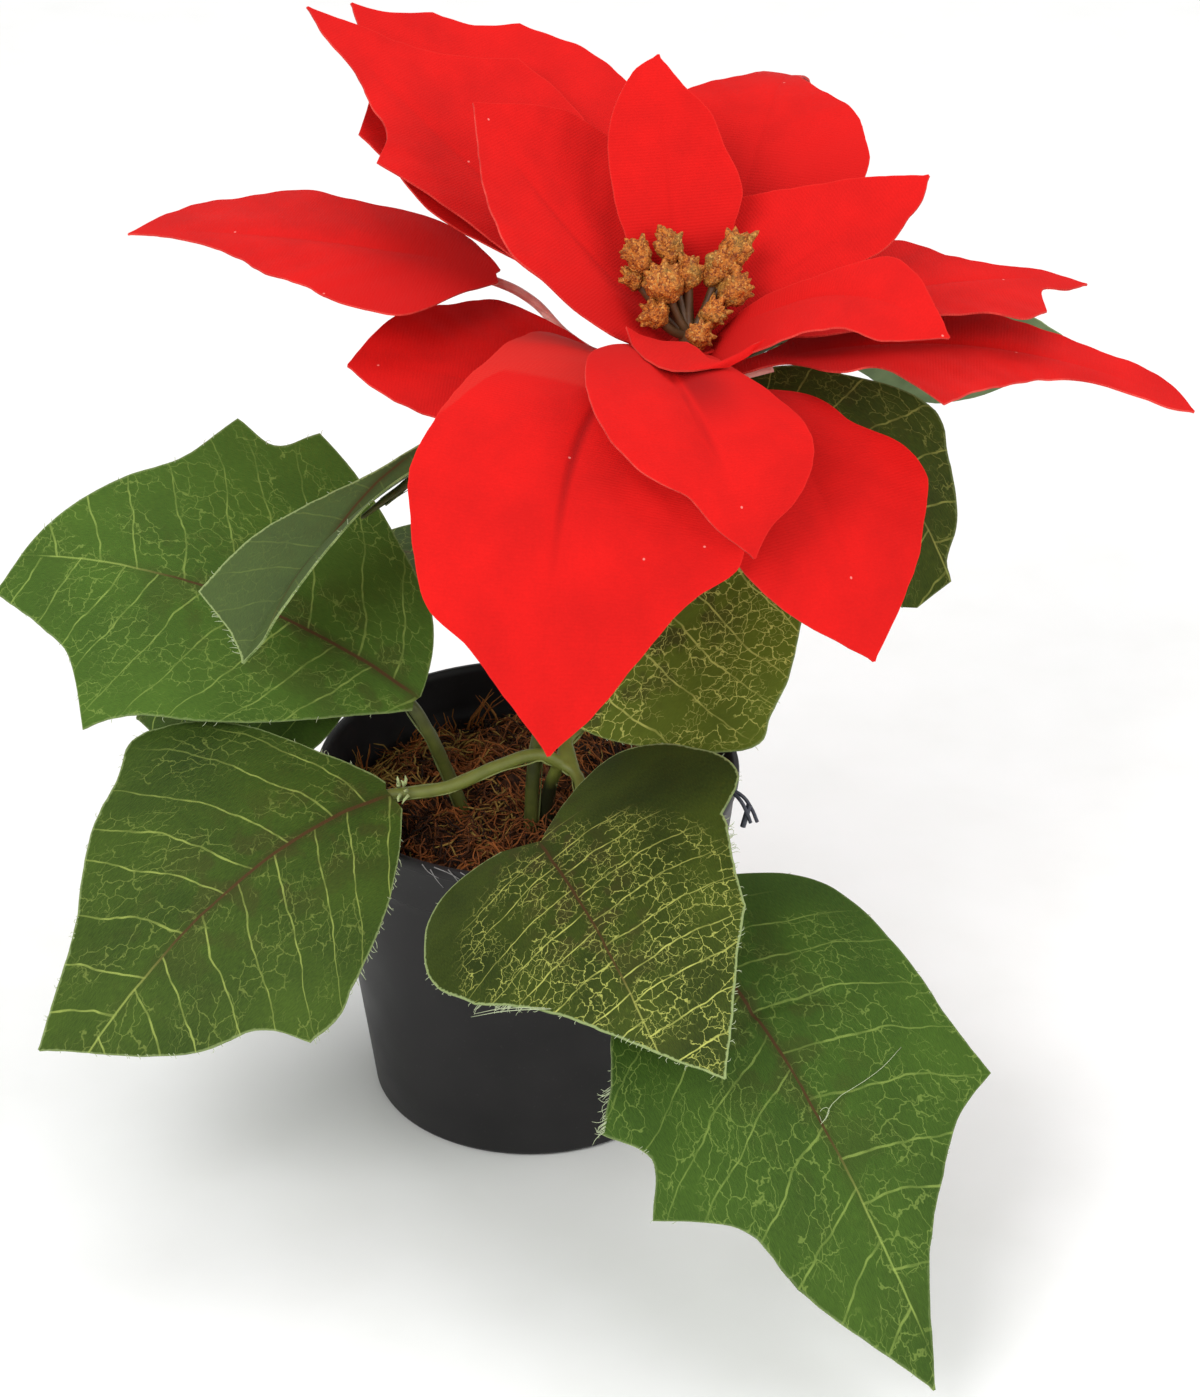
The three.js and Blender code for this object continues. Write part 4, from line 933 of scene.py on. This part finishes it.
def tinted_polyethylene():
    """Polyethylene, clear and moulded, tinted pink by the dye of the bracts: milky and glossy."""
    material, add = new_material("tinted_polyethylene")
    cloud = add("TexNoise", add("TexCoord"), 300.0, 3.0)
    colour = add("Mix RGBA", cloud, linear("#C9655C"), linear("#E9B4A8"))
    return surface(material, add, colour, (0.4, 0.1, cloud), 0.32, ior=1.51,
                   scatter=(0.4, (1.0, 0.5, 0.4), 1.2 * MM))


def flocked_granules(look):
    """Dyed granules that the buds were rolled in: gold to rust grains, matt, with olive ones among them."""
    material, add = new_material("flocked_granules")
    place = add("TexCoord")
    bumps = add("TexVoronoi", place, 2300.0, 1.0)
    pick = add("SeparateColor", bumps.node.outputs["Color"])
    colour = add("Mix RGBA", add("MapRange", pick, 0.1, 0.9), linear("#7E3C10"), (*look.gold, 1))
    olive = add("MapRange", add("TexNoise", place, 220.0, 2.0), 0.5, 0.68, 0.0, 0.45)
    colour = add("Mix RGBA", olive, colour, linear("#7A6E2A"))
    # Painted glints: a few grains are painted bright gold, as highlights off the sparkling granules
    painted_glints = add("MapRange", pick.node.outputs[1], 0.86, 0.95, 0.0, 0.45)
    colour = add("Mix RGBA", painted_glints, colour, linear("#E8B45C"))
    return surface(material, add, colour, (0.9, 0.25, bumps), 0.7, 0.4, invert=True)


def plain_plastic(name, first, second, roughness, grain=400.0):
    """Polyethylene, nylon, polyester or glue, moulded, drawn or melted: a slightly uneven skin."""
    material, add = new_material(name)
    cloud = add("TexNoise", add("TexCoord"), grain, 3.0)
    colour = add("Mix RGBA", cloud, linear(first), linear(second))
    return surface(material, add, colour, (0.4, 0.08, cloud), roughness)


def matt_paper(look):
    """Paper, matt and off-white, rolled out as the floor."""
    material, add = new_material("matt_paper")
    grain = add("TexNoise", add("TexCoord"), 40.0, 3.0)
    colour = add("Mix RGBA", grain, (*look.floor_colour, 1), linear("#FFFFFF"))
    return surface(material, add, colour, None, 0.95, 0.1)


# Steps of the build, one operator for each piece or group of like pieces

BLADES = {blade["name"]: blade for blade in LEAVES + OUTER_BRACTS}
LEAF_SEED, BRACT_SEED, INNER_SEED = 11, 41, 71
# Height in mm of the ribs pressed across a bract
BRACT_RIBS = 0.1
# Thickness of a moss strand's ends, as a share of the strand's
STRAND_TIP = 0.45
# How far in mm a stalk lies under its blade, and the thickness of its end as a share of its own
STALK_DROP = 0.75
STALK_END = 0.55
# Fineness in mm of the stems' mesh, and the lowest and highest mould line on them in mm
STEM_VOXEL = 0.38
MOULD_LINES = (0.08, 0.3)
# The leaf branch is painted darker between these heights in mm, where it runs into the moss: painted shade
SHADED_FOOT = (89, 98)
# Torn teeth at the end of the left leaf's stalk: their number and the place of the end in mm
TEETH = 9
TORN_END = (-29.5, -30, 98.2)
# The buds' spikes: how many on a bud, how narrow, and how near two of them may lie, as a cosine
BUD_SPIKES = 10
SPIKE_WIDTH = 0.014
SPIKE_GAP = 0.93
# Share of the buds' faces that is kept
BUD_DETAIL = 0.42
# Lengths in mm of the loose fibres at a cut edge, and their radii in mm from the edge outwards
FIBRE_LENGTHS = (0.4, 1.3)
FIBRE_RADII = (0.09, 0.075, 0.04)


def tapered(points, first, middle, last):
    """A run through the points, with its radius in mm at the first, at those between and at the last."""
    return points, [first, *[middle] * (len(points) - 2), last]


def under_rib(leaf, reach, radius):
    """Points under a blade's rib for a stalk of that radius."""
    place, _, _, up = rib_frame(BLADES[leaf], np.array([0.02, reach / 2, reach]))
    return [tuple(p) for p in place - up * (STALK_DROP + radius)]


def stem_runs(stems):
    """The runs of a stem: its own points, and those under the leaf that it carries."""
    runs = []
    for points, radius, leaf, reach in stems:
        line = list(points) + (under_rib(leaf, reach, radius) if leaf else [])
        runs.append(tapered(line, radius, radius, radius * STALK_END if leaf else radius))
    return runs


class POINSETTIA_OT_pot(bpy.types.Operator):
    """Turns the thin nursery pot with its rolled lip."""
    bl_idname = "poinsettia.pot"
    bl_label = "Pot"

    def execute(self, context):
        look = context.scene.poinsettia_pot
        pot = turned("turned_pot", POT_PROFILE, look.spin_steps)
        pot.data.materials.append(moulded_polypropylene(look))
        seat(pot, "pot_plastic", "pot")
        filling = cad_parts["pot_filling"]
        filling.data.materials.clear()
        filling.data.materials.append(foamed_cement())
        return {"FINISHED"}


def moss_height(x, y, share):
    lumps = 1.6 * math.sin(0.31 * x + 1.3) * math.cos(0.27 * y) + 1.1 * math.sin(0.55 * x - 0.43 * y)
    tufts = 2.6 * noise.noise(Vector((x, y, 2.0)) * 0.17) * (1 - share**6)
    return MOSS_TOP - 0.05 * y - 5 * share**4 + lumps * (1 - 0.5 * share) + tufts


def moss_bed():
    """The lumpy bed under the strands: a sphere laid flat below and drawn to the moss surface above."""
    bpy.ops.mesh.primitive_uv_sphere_add(segments=120, ring_count=70, radius=1)
    bed = bpy.context.object
    for vertex in bed.data.vertices:
        flat = Vector((vertex.co.x, vertex.co.y))
        share = min(1.0, flat.length)
        if vertex.co.z >= -0.001:
            x, y = flat * MOSS_RADIUS
            rough = noise.fractal(Vector((x, y, 3.0)) * 0.35, 1.0, 2.0, 4)
            z = moss_height(x, y, share) - 1.6 + 1.5 * rough * (1 - share**6)
        else:
            x, y = flat * MOSS_FOOT_RADIUS
            z = MOSS_FOOT
        vertex.co = Vector((x, y, z)) * MM
    bpy.ops.object.shade_smooth()
    # Painted shade: the bed is painted dark, as the shade in the gaps between the strands
    set_values(bed, tone=0.1, ochre=0.0)
    return bed


# Share of ochre strands outside the ochre tufts, and what the middle of a tuft adds to it
OCHRE_SHARE = 0.05
TUFT_SHARE = 0.75
# Ranges of a strand's step from point to point and of its height over the bed, in mm
STRAND_STEPS = (0.9, 2.4)
STRAND_LIFTS = (-0.8, 1.3)
# Shares of the moss radius past which a strand is drawn back, and where it is put
MOSS_LIMITS = (0.985, 0.98)


def moss_strand(draw):
    """One curled strand on the bed: points, radii, shade, and whether it is an ochre one."""
    while True:
        x, y = draw.uniform(-1, 1) * MOSS_RADIUS, draw.uniform(-1, 1) * MOSS_RADIUS
        if math.hypot(x, y) < MOSS_RADIUS - 3:
            break
    tufts = [math.exp(-((x - cx)**2 + (y - cy)**2) / size**2) for cx, cy, size in OCHRE_TUFTS]
    ochre = draw.random() < OCHRE_SHARE + TUFT_SHARE * sum(tufts)
    combed = noise.noise(Vector((x, y, 4.0)) * 0.09) * 2.5 * math.pi
    heading, curl = combed + draw.gauss(0, 0.7), draw.gauss(0, 0.45)
    count, step = draw.randint(4, 5), draw.uniform(*STRAND_STEPS)
    lift, rise = draw.uniform(*STRAND_LIFTS), draw.gauss(0, 0.55)
    points = []
    for k in range(count):
        share = min(1.0, math.hypot(x, y) / MOSS_RADIUS)
        if share > MOSS_LIMITS[0]:
            x, y = x * MOSS_LIMITS[1] / share, y * MOSS_LIMITS[1] / share
            share = MOSS_LIMITS[1]
        wave = 0.5 * math.sin(k * 1.3 + heading * 3)
        points.append((x, y, moss_height(x, y, share) + lift + rise * k + wave))
        heading += curl + draw.gauss(0, 0.35)
        x, y = x + step * math.cos(heading), y + step * math.sin(heading)
    patch = 0.36 + 1.0 * noise.noise(Vector((x, y, 9.0)) * 0.13)
    return points, patch + draw.uniform(-0.25, 0.25), ochre


# Wisps that stand up from the moss: place, height and how far the tip leans aside, in mm
STANDING_WISPS = [(-15, 36, 14, 5), (-19, 35, 11, -2), (-24, 33, 8, 3), (-12, 37, 16, 7), (-41, 15, 10, -2),
                  (-40, 17, 12, 1), (-9, 38, 10, -4), (-5, 38, 8, 3), (-28, 31, 7, 2)]


class POINSETTIA_OT_moss(bpy.types.Operator):
    """Lays the moss: a lumpy bed, curled strands on it and a few wisps that stand up."""
    bl_idname = "poinsettia.moss"
    bl_label = "Moss"

    def execute(self, context):
        look = context.scene.poinsettia_pot
        draw = random.Random(5)
        thick = look.strand_radius / MM
        runs, tones, ochres = [], [], []
        for _ in range(look.strands):
            points, tone, ochre = moss_strand(draw)
            radius = thick * draw.uniform(0.6, 1.35) * (1.15 if ochre else 1.0)
            runs.append(tapered(points, radius * STRAND_TIP, radius, radius * STRAND_TIP))
            tones.append(tone)
            ochres.append(float(ochre) * draw.uniform(0.6, 1))
        for x, y, height, lean in STANDING_WISPS:
            for _ in range(4):
                px, py = x + draw.uniform(-1.5, 1.5), y + draw.uniform(-1.5, 1.5)
                base = moss_height(px, py, math.hypot(px, py) / MOSS_RADIUS) - 1
                tall, side = height * draw.uniform(0.5, 1), lean * draw.uniform(0.3, 1.2)
                points = [(px + side * q * q + draw.uniform(-0.4, 0.4), py + draw.uniform(-0.4, 0.4) - q,
                           base + tall * q) for q in (0, 0.25, 0.5, 0.75, 1)]
                runs.append((points, [thick * r for r in (1.3, 1.2, 1.0, 0.8, 0.4)]))
                tones.append(draw.uniform(0.5, 1))
                ochres.append(draw.uniform(0, 0.9) if x < -30 else draw.uniform(0, 0.35))
        laid = strands("strands", runs, sides=4, straight=True, tone=tones, ochre=ochres)
        moss = join([moss_bed(), laid], "coir_moss")
        moss.data.materials.append(dried_moss())
        seat(moss, "moss", "moss")
        return {"FINISHED"}


class POINSETTIA_OT_stems(bpy.types.Operator):
    """Moulds the flower stem, the leaf branch and the left stalk, each with the stalks of its leaves."""
    bl_idname = "poinsettia.stems"
    bl_label = "Stems"

    def execute(self, context):
        green = moulded_polyethylene()
        draw = random.Random(9)
        # Tones of the stems: the flower stem and the left stalk are painted darker than the leaf branch, as
        # painted shade where they stand in shade
        for name, stems, tone, node in (
                ("moulded_flower_stem", FLOWER_STEM, 0.28, "flower_stem"),
                ("moulded_leaf_branch", LEAF_BRANCH, 0.66, "leaf_branch"),
                ("moulded_left_stalk", LEFT_STALK, 0.32, "left_leaf_stalk")):
            runs = stem_runs(stems)
            if node == "leaf_branch":
                runs += [(list(line), [1.6, 1.3]) for line in WEB]
            core = strands(name, runs, sides=12, smooth=8)
            modify(core, "REMESH", mode="VOXEL", voxel_size=STEM_VOXEL * MM)
            modify(core, "SMOOTH", factor=0.6, iterations=6)
            bpy.ops.object.shade_smooth()
            fins = strands(name + "_fins", self.parting_lines(runs, draw), sides=4, smooth=3)
            for part, pale in ((core, 0.0), (fins, 0.2)):
                # Painted shade: the leaf branch's foot is painted darker where it runs into the moss
                height = np.array([vertex.co.z / MM for vertex in part.data.vertices])
                below = 1 - soft_step(height, *SHADED_FOOT) if node == "leaf_branch" else 0 * height
                set_values(part, tone=tone - 0.8 * below, pale=pale * (1 - below))
            parts = [core, fins]
            if node == "leaf_branch":
                teeth = strands("teeth", self.torn_teeth(draw), sides=4, straight=True)
                set_values(teeth, tone=0.9, pale=0.95)
                parts.append(teeth)
            whole = join(parts, name)
            whole.data.materials.clear()
            whole.data.materials.append(green)
            seat(whole, "stem_plastic", node)
        return {"FINISHED"}

    def parting_lines(self, runs, draw):
        """The thin rough ridge that the mould leaves along both sides of each run."""
        lines = []
        for points, radii in runs:
            line = np.array(points, float)
            if len(line) < 3:
                continue
            steps = zip(line, line[1:])
            fine = [start + (end - start) * q for start, end in steps for q in (0, 0.34, 0.67)]
            for side in (1, -1):
                ridge, widths = [], []
                for k in range(1, len(fine) - 1):
                    along = Vector(fine[k + 1] - fine[k - 1]).normalized()
                    across = along.cross(Vector((0, -0.5, 0.86))).normalized()
                    ridge.append(tuple(Vector(fine[k]) + across * side * (radii[0] * 0.98)))
                    widths.append(draw.uniform(*MOULD_LINES))
                lines.append((ridge, widths))
        return lines

    def torn_teeth(self, draw):
        """Pale torn teeth round the end of the left leaf's stalk."""
        teeth = []
        for k in range(TEETH):
            turn = k * 0.7 + draw.uniform(-0.2, 0.2)
            around = Vector((0, math.cos(turn), math.sin(turn)))
            foot = Vector(TORN_END) + Vector((draw.uniform(0, 3), 0, 0)) + around * 1.3
            tip = foot + Vector((draw.uniform(-1.6, 0.6), 0, 0)) + around * 2.1
            middle = foot.lerp(tip, 0.55) + Vector((draw.uniform(-0.3, 0.3), 0, 0))
            teeth.append(([tuple(foot), tuple(middle), tuple(tip)], [0.5, 0.38, 0.1]))
        return teeth


class POINSETTIA_OT_leaves(bpy.types.Operator):
    """Cuts the ten printed leaves and forms each on its own rib."""
    bl_idname = "poinsettia.leaves"
    bl_label = "Leaves"

    def execute(self, context):
        look = context.scene.poinsettia_leaf
        cloths = [printed_leaf_cloth(look),
                  plain_cloth("leaf_cloth_back", "#566A42", "#72855A", 0.15, "#D8E2C8"),
                  plain_cloth("leaf_cloth_edge", "#52682F", "#93A468", 0.1, "#E8EED8", 0.6, 0.1)]
        for k, blade in enumerate(LEAVES):
            name = blade["name"]
            tone, warmth, dusty, frayed, net = LEAF_LOOKS.get(name, (0.4, 0.2, 0.0, 0.35, 0.7))
            piece = blade_object("cloth_" + name, blade, LEAF_SEED + k, look.thickness, cloths,
                                 print_lay=PRINTS[name], sweeps=VEIN_SWEEPS.get(name, (0.3, 0.3)), tone=tone,
                                 warmth=warmth, dusty=dusty, frayed=frayed, net=net)
            seat(piece, "leaf_fabric", name)
        return {"FINISHED"}


class POINSETTIA_OT_bracts(bpy.types.Operator):
    """Cuts the nine outer bracts, and the inner star of five bracts on its dish."""
    bl_idname = "poinsettia.bracts"
    bl_label = "Bracts"

    def execute(self, context):
        look = context.scene.poinsettia_bract
        cloths = [dyed_bract_cloth(look),
                  plain_cloth("bract_cloth_back", "#A81410", "#C4211B", 0.06, "#FF9A8C", 0.68, 0.06),
                  plain_cloth("bract_cloth_edge", "#B81C16", "#E0453A", 0.05, "#FFC0B6", 0.6, 0.1)]
        star = []
        for k, blade in enumerate(OUTER_BRACTS + INNER_BRACTS):
            name = blade["name"]
            inner = k >= len(OUTER_BRACTS)
            seed = INNER_SEED + k - len(OUTER_BRACTS) if inner else BRACT_SEED + k
            piece = blade_object("cloth_" + name, blade, seed, look.thickness, cloths,
                                 DEEP_CREASES.get(name, BRACT_CREASE), 0.7 if inner else 0.8, BRACT_RIBS,
                                 crease_aside=CREASE_ASIDE.get(name, 0.0), tone=NAP_SHEEN.get(name, 0.0),
                                 folded=SHADED_HALF.get(name, 0.0), pressed=CREASE_SHADE.get(name, 0.25))
            if inner:
                star.append(piece)
            else:
                seat(piece, "bract_fabric", name)
        star.append(collar(look.thickness, [cloths[1], cloths[0], cloths[2]]))
        dish = turned("dish", DISH_PROFILE, 48, DISH_PLACE[:2], DISH_PLACE[2])
        for cloth in cloths:
            dish.data.materials.append(cloth)
        star = join([*star, dish], "cloth_inner_bract_star")
        seat(star, "bract_fabric", "inner_bract_star")
        return {"FINISHED"}


class POINSETTIA_OT_hub(bpy.types.Operator):
    """Moulds the hub under the bracts, with a short stalk to each and a long one to the bract at the left."""
    bl_idname = "poinsettia.hub"
    bl_label = "Bract hub"

    def execute(self, context):
        runs = []
        for blade in OUTER_BRACTS:
            x, y, z = blade["root"]
            if blade["name"] == "outer_bract_left":
                line, reach = list(LONG_STALK), LONG_STALK_REACH
            else:
                hx, hy = HUB_AXIS
                line = [(hx, hy, max(z - 7, 184)), (x + 0.15 * (hx - x), y + 0.15 * (hy - y), z - 4.5)]
                reach = BRACT_STALK_REACH
            runs.append((line + under_rib(blade["name"], reach, 1.1), 1.1))
        stalks = strands("stalks", runs, sides=8, smooth=8)
        hub = turned("hub", HUB_PROFILE, 32, HUB_AXIS)
        hub = join([hub, stalks], "moulded_bract_hub")
        hub.data.materials.append(tinted_polyethylene())
        seat(hub, "stalk_plastic", "bract_hub")
        return {"FINISHED"}


class POINSETTIA_OT_buds(bpy.types.Operator):
    """Makes the granular golden buds on their dark stalks."""
    bl_idname = "poinsettia.buds"
    bl_label = "Buds"

    def execute(self, context):
        look = context.scene.poinsettia_bract
        draw = random.Random(21)
        foot = Vector(TUFT)
        buds = []
        for centre, radius, stretch in BUDS:
            bpy.ops.mesh.primitive_ico_sphere_add(subdivisions=5, radius=1)
            bud = bpy.context.object
            axis = (Vector(centre) - foot).normalized()
            spikes = []
            while len(spikes) < BUD_SPIKES:
                way = Vector([draw.gauss(0, 1) for _ in range(3)]).normalized()
                if 0.3 < way.dot(axis) < 0.97 and all(way.dot(other) < SPIKE_GAP for other, _ in spikes):
                    spikes.append((way, draw.uniform(0.5, 1.5) + 1.1 * way.dot(axis)))
            seed = Vector([draw.uniform(0, 50) for _ in range(3)])
            for vertex in bud.data.vertices:
                way = vertex.co.normalized()
                along = way.dot(axis)
                size = radius * (0.92 + 0.10 * along)
                spot = way * size
                grain = noise.voronoi(spot * 2.1 + seed)[0][0]
                size += 0.3 - 0.6 * min(grain, 0.8) + 0.95 * noise.noise(spot * 0.5 + seed)
                for spike, height in spikes:
                    size += 0.9 * height * math.exp(-((1 - way.dot(spike)) / SPIKE_WIDTH))
                place = way * size
                vertex.co = (Vector(centre) + place + axis * place.dot(axis) * (stretch - 1)) * MM
            bpy.ops.object.shade_smooth()
            buds.append(bud)
        heads = join(buds, "heads")
        modify(heads, "DECIMATE", ratio=BUD_DETAIL)
        heads.data.materials.append(flocked_granules(look))
        runs = []
        for centre, _, _ in BUDS:
            middle = foot.lerp(Vector(centre), 0.5) + Vector((0, 0, -0.8))
            runs.append(([tuple(foot + Vector((0, 0, 0.8))), tuple(middle), centre], [1.2, 1.0, 1.1]))
        stalks = strands("bud_stalks", runs, sides=8, smooth=6)
        base = turned("bud_base", [(0, 0), (2.6, 0), (2.5, 0.9), (2.2, 1.9), (1.2, 2.5), (0, 2.7)], 32,
                      TUFT[:2], TUFT[2])
        stalks = join([stalks, base], "bud_stalks")
        stalks.data.materials.append(plain_plastic("brown_polyethylene", "#3A2412", "#6E4A26", 0.55))
        whole = join([heads, stalks], "granular_flower_buds")
        seat(whole, "bud_gold", "cyathia")
        return {"FINISHED"}


class POINSETTIA_OT_tag_pin(bpy.types.Operator):
    """Leaves the snapped tag pin hanging over the rim."""
    bl_idname = "poinsettia.tag_pin"
    bl_label = "Tag pin"

    def execute(self, context):
        pin = strands("snapped_tag_pin", [(points, radius) for points, radius in TAG_PIN], sides=10, smooth=8)
        pin.data.materials.append(plain_plastic("drawn_nylon", "#2B2D36", "#454856", 0.4))
        seat(pin, "pot_plastic", "tag_pin")
        return {"FINISHED"}


# Threads of hot glue at the rim, as points in mm
GLUE_WISPS = [
    [(-21.5, -45.8, 86.6), (-20.2, -46.8, 84.6), (-18.6, -47.0, 82.4)],
    [(-20.6, -46.0, 87.3), (-16.4, -47.6, 86.2), (-13.0, -48.4, 84.0)],
    [(-17.4, -47.0, 87.3), (-15.0, -48.0, 84.4), (-13.8, -48.3, 81.4), (-13.0, -48.2, 79.6)],
    [(-14.6, -48.0, 87.2), (-11.8, -49.2, 85.6), (-10.0, -49.4, 83.0)],
    [(-23.4, -44.6, 87.2), (-22.0, -45.6, 85.8), (-19.6, -46.8, 84.8)],
]


class POINSETTIA_OT_threads(bpy.types.Operator):
    """Adds the loose fibres of the cut leaf edges and the wisps of hot glue at the rim."""
    bl_idname = "poinsettia.threads"
    bl_label = "Threads and glue"

    def execute(self, context):
        draw = random.Random(33)
        runs = []
        for name, amount in EDGE_FIBRES.items():
            blade = BLADES[name]
            for _ in range(amount):
                side = draw.choice((1, -1))
                share = draw.uniform(0.05, 0.98)
                runs.append(self.fibre(blade, draw, share, side, draw.uniform(*FIBRE_LENGTHS)))
        for name, side, start, end, amount, long in FRINGES:
            for _ in range(amount):
                runs.append(self.fibre(BLADES[name], draw, draw.uniform(start, end), side,
                                       long * draw.uniform(0.5, 1.1)))
        runs += [tapered(line, 0.11, 0.09, 0.06) for line in LONG_THREADS]
        fibres = strands("loose_edge_fibres", runs, sides=4, smooth=3)
        fibres.data.materials.append(plain_plastic("polyester_thread", "#8C9A6C", "#C6CFAE", 0.6, 1500.0))
        seat(fibres, "leaf_fabric")
        runs = [tapered(line, 0.13, 0.09, 0.05) for line in GLUE_WISPS]
        glue = strands("hot_glue_wisps", runs, sides=6, smooth=6)
        glue.data.materials.append(plain_plastic("hot_melt_glue", "#5C5A58", "#8E8C8A", 0.35, 900.0))
        seat(glue, "pot_plastic")
        return {"FINISHED"}

    def fibre(self, blade, draw, share, side, length):
        """A short bent fibre that leaves the blade's edge outwards."""
        key = "left" if side > 0 else "right"
        shares = np.array([share])
        reach = side * outline_width(blade[key], shares)
        edge = blade_places(blade, shares, reach)[0][0]
        inner = blade_places(blade, shares, reach * 0.93)[0][0]
        out = Vector(edge - inner).normalized()
        bend = Vector([draw.gauss(0, 0.4) for _ in range(3)])
        points = [Vector(edge) - out * 0.6, Vector(edge) + (out + bend * 0.3) * length * 0.5,
                  Vector(edge) + (out + bend).normalized() * length]
        return [tuple(p) for p in points], FIBRE_RADII


# Loose fibres along a leaf's whole edge. Fringes: side, first and last rib share, number and length in mm
EDGE_FIBRES = {"leaf_front": 70, "leaf_left_lower": 60, "leaf_folded": 30, "leaf_left_upper": 25,
               "leaf_right_lower": 25, "leaf_center_right": 12}
FRINGES = [("leaf_right_lower", -1, 0.30, 0.37, 26, 3.2), ("leaf_left_lower", 1, 0.08, 0.3, 22, 2.2),
           ("leaf_front", 1, 0.3, 0.4, 16, 2.0), ("leaf_front", -1, 0.3, 0.5, 18, 2.4),
           ("leaf_folded", -1, 0.8, 0.97, 14, 1.8)]
LONG_THREADS = [[(65.9, -108.7, 62), (67.5, -105.5, 64), (74.8, -98.3, 65), (79, -94, 65.6),
                 (83.6, -87.9, 66.9)],
                [(65, -109.5, 61.6), (66.8, -107.4, 63.2), (66.4, -105.8, 63.4), (64.9, -106.6, 62.8),
                 (65.2, -109, 61.8)],
                [(6.5, -102.3, 87), (-3.5, -100, 84.8), (-11, -97, 81.2)],
                [(5.2, -102, 87), (-4, -99.6, 85.2), (-10.3, -97, 82)]]


class POINSETTIA_OT_studio(bpy.types.Operator):
    """Sets the camera, the soft lights and the pale floor."""
    bl_idname = "poinsettia.studio"
    bl_label = "Studio"

    def execute(self, context):
        look = context.scene.poinsettia_studio
        scene = context.scene
        bpy.ops.mesh.primitive_plane_add(size=6, location=(0, 0, 0))
        floor = bpy.context.object
        floor.name = floor.data.name = "studio_floor"
        bpy.ops.object.transform_apply()
        floor.data.materials.append(matt_paper(look))

        world = bpy.data.worlds.new("studio_air")
        world.use_nodes = True
        background = world.node_tree.nodes["Background"]
        background.inputs["Color"].default_value = (1, 1, 1, 1)
        background.inputs["Strength"].default_value = AIR_LIGHT
        scene.world = world
        for name, place, size, power, towards in STUDIO_LIGHTS:
            lamp = bpy.data.lights.new(name, "AREA")
            lamp.shape = "DISK"
            lamp.size = size
            lamp.energy = power
            holder = bpy.data.objects.new(name, lamp)
            holder.location = place
            holder.rotation_euler = (Vector(towards) - Vector(place)).to_track_quat("-Z", "Y").to_euler()
            scene.collection.objects.link(holder)

        camera = bpy.data.cameras.new("studio_camera")
        camera.lens = look.lens
        camera.sensor_width = 36
        camera.clip_start = 0.05
        camera.clip_end = 20
        holder = bpy.data.objects.new("studio_camera", camera)
        back = Vector((0, -math.cos(look.elevation), math.sin(look.elevation)))
        holder.location = Vector(CAMERA_TARGET) * MM + back * look.distance
        holder.rotation_euler = (-back).to_track_quat("-Z", "Y").to_euler()
        scene.collection.objects.link(holder)
        scene.camera = holder
        scene.view_settings.view_transform = "Standard"
        return {"FINISHED"}


# Point in mm that the camera looks at, and strength of the light from all around
CAMERA_TARGET = (17.05, 0, 104.8)
AIR_LIGHT = 0.65
# Soft lights: place in metres, size in metres, power in watts and the point that they face
STUDIO_LIGHTS = [
    ("key_softbox", (-0.6, -1.0, 1.1), 0.8, 11.0, (0, 0, 0.15)),
    ("fill_softbox", (0.9, -0.9, 0.8), 0.9, 6.0, (0, 0, 0.12)),
    ("top_softbox", (0.1, 0.4, 1.4), 1.1, 6.0, (0, 0, 0.1)),
]

OPERATORS = (POINSETTIA_OT_pot, POINSETTIA_OT_moss, POINSETTIA_OT_stems, POINSETTIA_OT_leaves,
             POINSETTIA_OT_bracts, POINSETTIA_OT_hub, POINSETTIA_OT_buds, POINSETTIA_OT_tag_pin,
             POINSETTIA_OT_threads, POINSETTIA_OT_studio)
GROUPS = (("poinsettia_pot", PotSettings), ("poinsettia_leaf", LeafSettings),
          ("poinsettia_bract", BractSettings), ("poinsettia_studio", StudioSettings))


class POINSETTIA_PT_panel(bpy.types.Panel):
    """Lists the settings and the steps of the build."""
    bl_idname = "POINSETTIA_PT_panel"
    bl_label = "Poinsettia"
    bl_space_type = "VIEW_3D"
    bl_region_type = "UI"
    bl_category = "Poinsettia"

    def draw(self, context):
        for group, kind in GROUPS:
            box = self.layout.box()
            box.label(text=kind.__name__.replace("Settings", ""))
            for key in kind.__annotations__:
                box.prop(getattr(context.scene, group), key)
        for step in OPERATORS:
            self.layout.operator(step.bl_idname)


def register():
    for kind in [group for _, group in GROUPS] + [*OPERATORS, POINSETTIA_PT_panel]:
        bpy.utils.register_class(kind)
    for name, kind in GROUPS:
        setattr(bpy.types.Scene, name, PointerProperty(type=kind))


def unregister():
    for name, _ in GROUPS:
        delattr(bpy.types.Scene, name)
    for kind in [POINSETTIA_PT_panel, *reversed(OPERATORS)] + [group for _, group in GROUPS]:
        bpy.utils.unregister_class(kind)


def main():
    register()
    for step in OPERATORS:
        group, name = step.bl_idname.split(".")
        getattr(getattr(bpy.ops, group), name)()
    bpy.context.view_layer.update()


if __name__ == "__main__":
    main()
